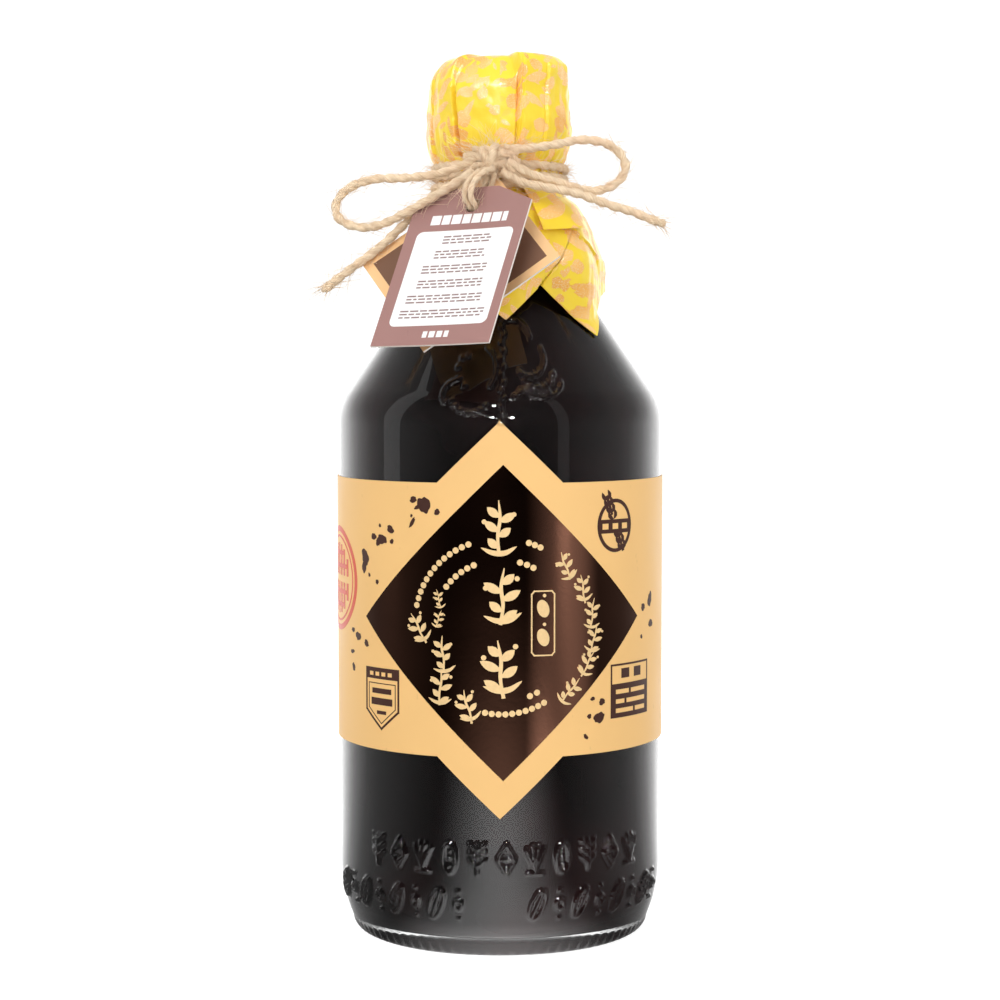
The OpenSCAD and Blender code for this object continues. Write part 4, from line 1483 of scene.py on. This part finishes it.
def ring_patch(corners, hole, radius, steps=144, rows=7):
    """Rows from a round hole out to a polygon. Its corners are kept; the points between them
    are even along each side, and each lies in line with the hole's middle."""
    p = np.array(corners, float)
    sides = np.roll(p, -1, axis=0) - p
    share = np.maximum(3, (steps * np.linalg.norm(sides, axis=1)
                           / np.linalg.norm(sides, axis=1).sum()).astype(int))
    rim = np.vstack([a + np.linspace(0, 1, n, endpoint=False)[:, None] * s
                     for a, s, n in zip(p, sides, share)])
    t = np.arctan2(rim[:, 1] - hole[1], rim[:, 0] - hole[0])
    inner = np.stack([hole[0] + radius * np.cos(t), hole[1] + radius * np.sin(t)], -1)
    f = (np.linspace(0, 1, rows) ** 1.4)[:, None, None]
    grid = inner + f * (rim - inner)
    return grid[..., 0], grid[..., 1]


def rounded_panel(x0, y0, x1, y1, radius):
    """A rectangle with round corners, as a grid: each column's height shrinks near the ends."""
    x = np.concatenate([x0 + radius * (1 - np.cos(np.linspace(0, pi / 2, 7))),
                        np.linspace(x0 + radius, x1 - radius, 8)[1:-1],
                        x1 - radius * (1 - np.cos(np.linspace(pi / 2, 0, 7)))])
    inset = np.clip(np.maximum(x0 + radius - x, x - x1 + radius), 0, radius)
    cut = radius - np.sqrt(np.clip(radius ** 2 - inset ** 2, 0, None))
    f = np.linspace(0, 1, 6)[:, None]
    y = (y0 + cut) + f * (y1 - y0 - 2 * cut)
    return np.broadcast_to(x, y.shape), y


# Half the thickness of the cards' print, and the width of the diamond card's border.
INK, BORDER = 0.03, 2.2


def dashes(x0, x1, y, height, rng, size, gap):
    """A row of short bars of chance lengths between x0 and x1."""
    parts, x = [], x0
    rows = np.linspace(y - height / 2, y + height / 2, 2)
    while x < x1 - size[0] * 0.5:
        end = min(x1, x + rng.uniform(*size))
        parts.append(np.meshgrid(np.linspace(x, end, 3), rows))
        x = end + gap
    return parts


def card_body(name, patch, loop, place, sizes, face, rim):
    """A card as one closed solid, with the paler core showing on its cut edges."""
    half = sizes.thickness / MM / 2
    solid = slab(*patch, place, -half, half, loop)
    polygons = piece(name, solid, [face, rim], [name], crease=30).data.polygons
    rows, cols = patch[0].shape
    index = np.ones(len(polygons), np.int32)
    index[:2 * (rows - 1) * (cols if loop else cols - 1)] = 0
    polygons.foreach_set("material_index", index)


class BOTTLE_OT_cards(bpy.types.Operator):
    """Hang the tag and the diamond card from the knot"""
    bl_idname = "bottle.cards"
    bl_label = "Cards"

    def execute(self, context):
        """Each card is a flat patch with a slight bow; its print lies on it as thin solids."""
        sizes = context.scene.soy_bottle.cards
        rng = np.random.default_rng(SEED + 3)
        face = sizes.thickness / MM / 2
        pale = paper_material("card_core", (0.82, 0.74, 0.68), 0.7)
        w, h = sizes.tag_width / MM / 2, sizes.tag_height / MM
        cut_w, cut_h = sizes.cut_width / MM, sizes.cut_height / MM
        tag = card_place(KNOT + [-13.6, -25.3, -41.9], sizes.lean, TAG_TURN, radians(-2), 0.0012)
        corners = [(-w, 0), (w, 0), (w, h - cut_h), (w - cut_w, h), (cut_w - w, h), (-w, h - cut_h)]
        patch = ring_patch(corners, (0, h - sizes.hole_down / MM), sizes.hole / MM)
        card_body("hang_tag", patch, True, tag, sizes, paper_material("mauve_card", sizes.mauve, 0.55),
                  pale)
        panel = [rounded_panel(-12.2, 5.0, 12.9, 30.0, 1.5)]
        title = dashes(-9.6, 10.2, 33.0, 2.5, rng, (2.0, 2.5), 0.4)
        foot = dashes(-2.6, 4.8, 2.7, 1.6, rng, (0.9, 1.5), 0.5)
        printed("tag_panel", panel + title + foot, tag, face - INK, face + INK,
                paper_material("white_print", sizes.panel, 0.5), "tag_card")
        lines = []
        for k, (x0, x1) in enumerate(((-4.9, 7.6), (-5.9, 7.2), (-8.0, 8.6), (-8.0, 8.6),
                                      (-9.6, 9.6), (-10.2, 11.4))):
            y = 27.4 - 3.9 * k
            for lift, size in ((0.95, (1.3, 2.4)), (0.15, (0.8, 2.0)), (-0.7, (1.1, 2.3))):
                lines += dashes(x0, x1, y + lift, 0.36, rng, size, 0.45)
        printed("tag_lines", lines, tag, face, face + 2 * INK,
                paper_material("grey_print", sizes.print_grey, 0.55), "tag_card")
        a, b = sizes.diamond_width / MM / 2, sizes.diamond_height / MM / 2
        flat = card_place(KNOT + [-7.4, -8.9, -23.1], sizes.lean, radians(-24), radians(-42.5), 0.0008)
        card, field = (np.meshgrid(np.linspace(edge - a, a - edge, 13),
                                   np.linspace(edge - b, b - edge, 13)) for edge in (0.0, BORDER))
        card_body("diamond_tag", card, False, flat, sizes, paper_material("tan_card", sizes.tan, 0.5),
                  pale)
        printed("diamond_field", [field], flat, face - INK, face + INK,
                paper_material("brown_field", sizes.field, 0.4, 0.2), "diamond_card")
        return {"FINISHED"}


# ---------------------------------------------------------------- stage


STUDIO_GLOW, FLOOR_GLOW = 2.4, 0.85
MIDDLE = (0, 0, 0.11)
# Lamps: name, place, aim, width and height, radiance, and the surfaces that they light.
LAMPS = (("key", (-0.55, -0.95, 0.75), MIDDLE, (0.7, 0.7), 4.7, "matt"),
         ("fill", (0.8, -0.75, 0.35), MIDDLE, (0.6, 0.8), 2.6, "matt"),
         ("top", (0.0, 0.1, 1.1), MIDDLE, (0.7, 0.7), 1.8, "matt"),
         ("strip_left", (-0.89, -0.15, 0.5), (0, 0, 0.3), (0.26, 1.3), 0.6, "gloss"),
         ("strip_right", (0.62, -0.64, 0.45), (0, 0, 0.3), (0.14, 1.1), 0.26, "gloss"),
         ("window", (-0.08, -0.62, 0.7), (0, 0, 0.17), (0.19, 0.19), 60.0, "gloss"),
         *(("spark_%d" % k, (x, -0.62, z), (0, 0, 0.13), (0.025, 0.025), 160.0, "gloss")
           for k, (x, z) in enumerate(((-0.06, 0.3), (0.02, 0.35), (0.09, 0.3)))))


def area_light(name, place, aim, size, glow, lights):
    """A flat lamp of width and height size, in metres, that faces aim; glow is its radiance. It
    lights matt surfaces only, or shows in gloss only."""
    data = bpy.data.lights.new(name, "AREA")
    data.shape, data.size, data.size_y = "RECTANGLE", size[0], size[1]
    data.energy = glow * pi * size[0] * size[1]
    lamp = bpy.data.objects.new(name, data)
    lamp.location = place
    lamp.rotation_euler = (Vector(aim) - Vector(place)).to_track_quat("-Z", "Y").to_euler()
    lamp.visible_camera, lamp.visible_transmission = False, False
    lamp.visible_diffuse, lamp.visible_glossy = lights == "matt", lights == "gloss"
    bpy.context.scene.collection.objects.link(lamp)


def build_studio(tree, given):
    """What gloss reflects, against the cosine of the angle from the camera's side: bright
    behind and beside the bottle, dark in front."""
    half = maths(tree, "ADD", times(tree, given["Toward"], 0.5), 0.5)
    ramp = node(tree, "ShaderNodeValToRGB", {0: half})
    stops = ramp.color_ramp.elements
    stops[0].position, stops[0].color = 0.12, grey(1)
    stops[1].position, stops[1].color = 1.0, grey(0.012)
    for place, tone in ((0.27, 0.5), (0.4, 0.26), (0.5, 0.19), (0.65, 0.14), (0.8, 0.07),
                        (0.9, 0.025)):
        stops.new(place).color = grey(tone)
    return (ramp.outputs[0],)


def studio():
    return group("studio_gradient", build_studio, [("Toward", "NodeSocketFloat", None)],
                 [("Color", "NodeSocketColor")])


def studio_world():
    """White to the camera and through the glass; an even soft white for matt surfaces; the
    studio's gradient for gloss, darker overhead."""
    world = bpy.data.worlds.new("studio")
    bpy.context.scene.world = world
    world.use_nodes = True
    tree = world.node_tree
    tree.nodes.clear()
    way = split(tree, node(tree, "ShaderNodeTexCoord").outputs["Generated"])
    toward = maths(tree, "ADD", times(tree, way[1], -1.0),
                   times(tree, maths(tree, "MAXIMUM", way[2], 0.0), 0.75))
    shade = place_group(tree, studio(), {"Toward": toward})[0]
    path = node(tree, "ShaderNodeLightPath").outputs
    seen = maths(tree, "MAXIMUM", path["Is Camera Ray"], path["Is Transmission Ray"])
    soft = blend_colour(tree, path["Is Diffuse Ray"], shade, grey(0.27))
    shown = blend_colour(tree, seen, soft, grey(0.46))
    back = node(tree, "ShaderNodeBackground", {"Color": shown, "Strength": STUDIO_GLOW})
    node(tree, "ShaderNodeOutputWorld", {"Surface": back.outputs[0]})


def floor_material():
    """A pale matt floor. To the camera it glows a little, so it stays white in the distance; seen
    through the glass it glows too, painted light in place of light that the glass's base gathers.
    In reflections it shows, as a painted reflection, the studio's gradient round the bottle and a
    soft bright patch straight in front."""
    made, tree, shader = material("pale_floor")
    place = object_place(tree)
    tone = noise(tree, place, 3.0, 2.0)
    path = node(tree, "ShaderNodeLightPath").outputs
    x, y, _ = split(tree, place)
    reach = node(tree, "ShaderNodeVectorMath", {0: place}, operation="LENGTH").outputs["Value"]
    toward = maths(tree, "DIVIDE", times(tree, y, -1.0), maths(tree, "ADD", reach, 0.001))
    shade = place_group(tree, studio(), {"Toward": toward})[0]
    across = maths(tree, "ABSOLUTE", maths(tree, "DIVIDE", x, maths(tree, "ADD", reach, 0.02)))
    # A painted bright patch for reflections, straight in front of the bottle and near it.
    patch = times(tree, span(tree, across, 0.62, 0.0), span(tree, toward, 0.5, 0.8))
    patch = times(tree, patch, span(tree, reach, 0.6, 0.15))
    gloss = blend_colour(tree, times(tree, patch, 0.95), shade, grey(1))
    # Glow to the camera, and painted light to rays through the glass.
    seen = maths(tree, "MAXIMUM", path["Is Camera Ray"], path["Is Transmission Ray"])
    matt = blend_colour(tree, tone, grey(0.56), grey(0.6))
    settle(tree, shader, {
        "Base Color": blend_colour(tree, path["Is Glossy Ray"], matt, grey(0)),
        "Roughness": 0.9, "Specular IOR Level": 0.1,
        "Emission Color": blend_colour(tree, path["Is Glossy Ray"], grey(1), gloss),
        "Emission Strength": maths(tree, "ADD", times(tree, seen, FLOOR_GLOW),
                                   times(tree, path["Is Glossy Ray"], STUDIO_GLOW))})
    return made


class BOTTLE_OT_stage(bpy.types.Operator):
    """Set up the camera, the pale floor and the soft studio light"""
    bl_idname = "bottle.stage"
    bl_label = "Stage"

    def execute(self, context):
        sizes = context.scene.soy_bottle.stage
        scene = context.scene
        lens = bpy.data.cameras.new("camera")
        lens.lens, lens.sensor_width = sizes.lens, 36.0
        lens.clip_start, lens.clip_end = 0.01, 20.0
        camera = bpy.data.objects.new("camera", lens)
        camera.location = (0, -sizes.camera_distance, sizes.camera_height)
        aim = Vector((0, 0, sizes.aim_height)) - camera.location
        camera.rotation_euler = aim.to_track_quat("-Z", "Y").to_euler()
        scene.collection.objects.link(camera)
        scene.camera = camera
        scene.view_settings.view_transform = "Standard"
        scene.view_settings.look = "None"

        half = sizes.floor_size / 2
        mesh = bpy.data.meshes.new("floor")
        mesh.from_pydata([(-half, -half, 0), (half, -half, 0), (half, half, 0), (-half, half, 0)],
                         [], [(0, 1, 2, 3)])
        mesh.materials.append(floor_material())
        floor = bpy.data.objects.new("floor", mesh)
        scene.collection.objects.link(floor)

        for lamp in LAMPS:
            area_light(*lamp)
        studio_world()
        return {"FINISHED"}


# ---------------------------------------------------------------- add-on


class BOTTLE_PT_panel(bpy.types.Panel):
    """Lists the pieces of the bottle and their sizes"""
    bl_idname = "BOTTLE_PT_panel"
    bl_label = "Soy sauce bottle"
    bl_space_type = "VIEW_3D"
    bl_region_type = "UI"
    bl_category = "Bottle"

    def draw(self, context):
        settings = context.scene.soy_bottle
        for operator, part in STEPS:
            self.layout.operator(operator.bl_idname)
            for key in getattr(settings, part).__annotations__ if part else ():
                self.layout.prop(getattr(settings, part), key)


STEPS = ((BOTTLE_OT_stage, "stage"), (BOTTLE_OT_twine, "twine"), (BOTTLE_OT_glass, "glass"),
         (BOTTLE_OT_sauce, ""), (BOTTLE_OT_label, "label"), (BOTTLE_OT_hood, "hood"),
         (BOTTLE_OT_cards, "cards"))
CLASSES = (GlassSettings, LabelSettings, HoodSettings, TwineSettings, CardSettings, StageSettings,
           BottleSettings, *(operator for operator, _ in STEPS), BOTTLE_PT_panel)


def register():
    for made in CLASSES:
        bpy.utils.register_class(made)
    bpy.types.Scene.soy_bottle = PointerProperty(type=BottleSettings)


def unregister():
    del bpy.types.Scene.soy_bottle
    for made in reversed(CLASSES):
        bpy.utils.unregister_class(made)


def main():
    register()
    for operator, _ in STEPS:
        family, name = operator.bl_idname.split(".")
        getattr(getattr(bpy.ops, family), name)()
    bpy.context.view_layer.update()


if __name__ == "__main__":
    main()
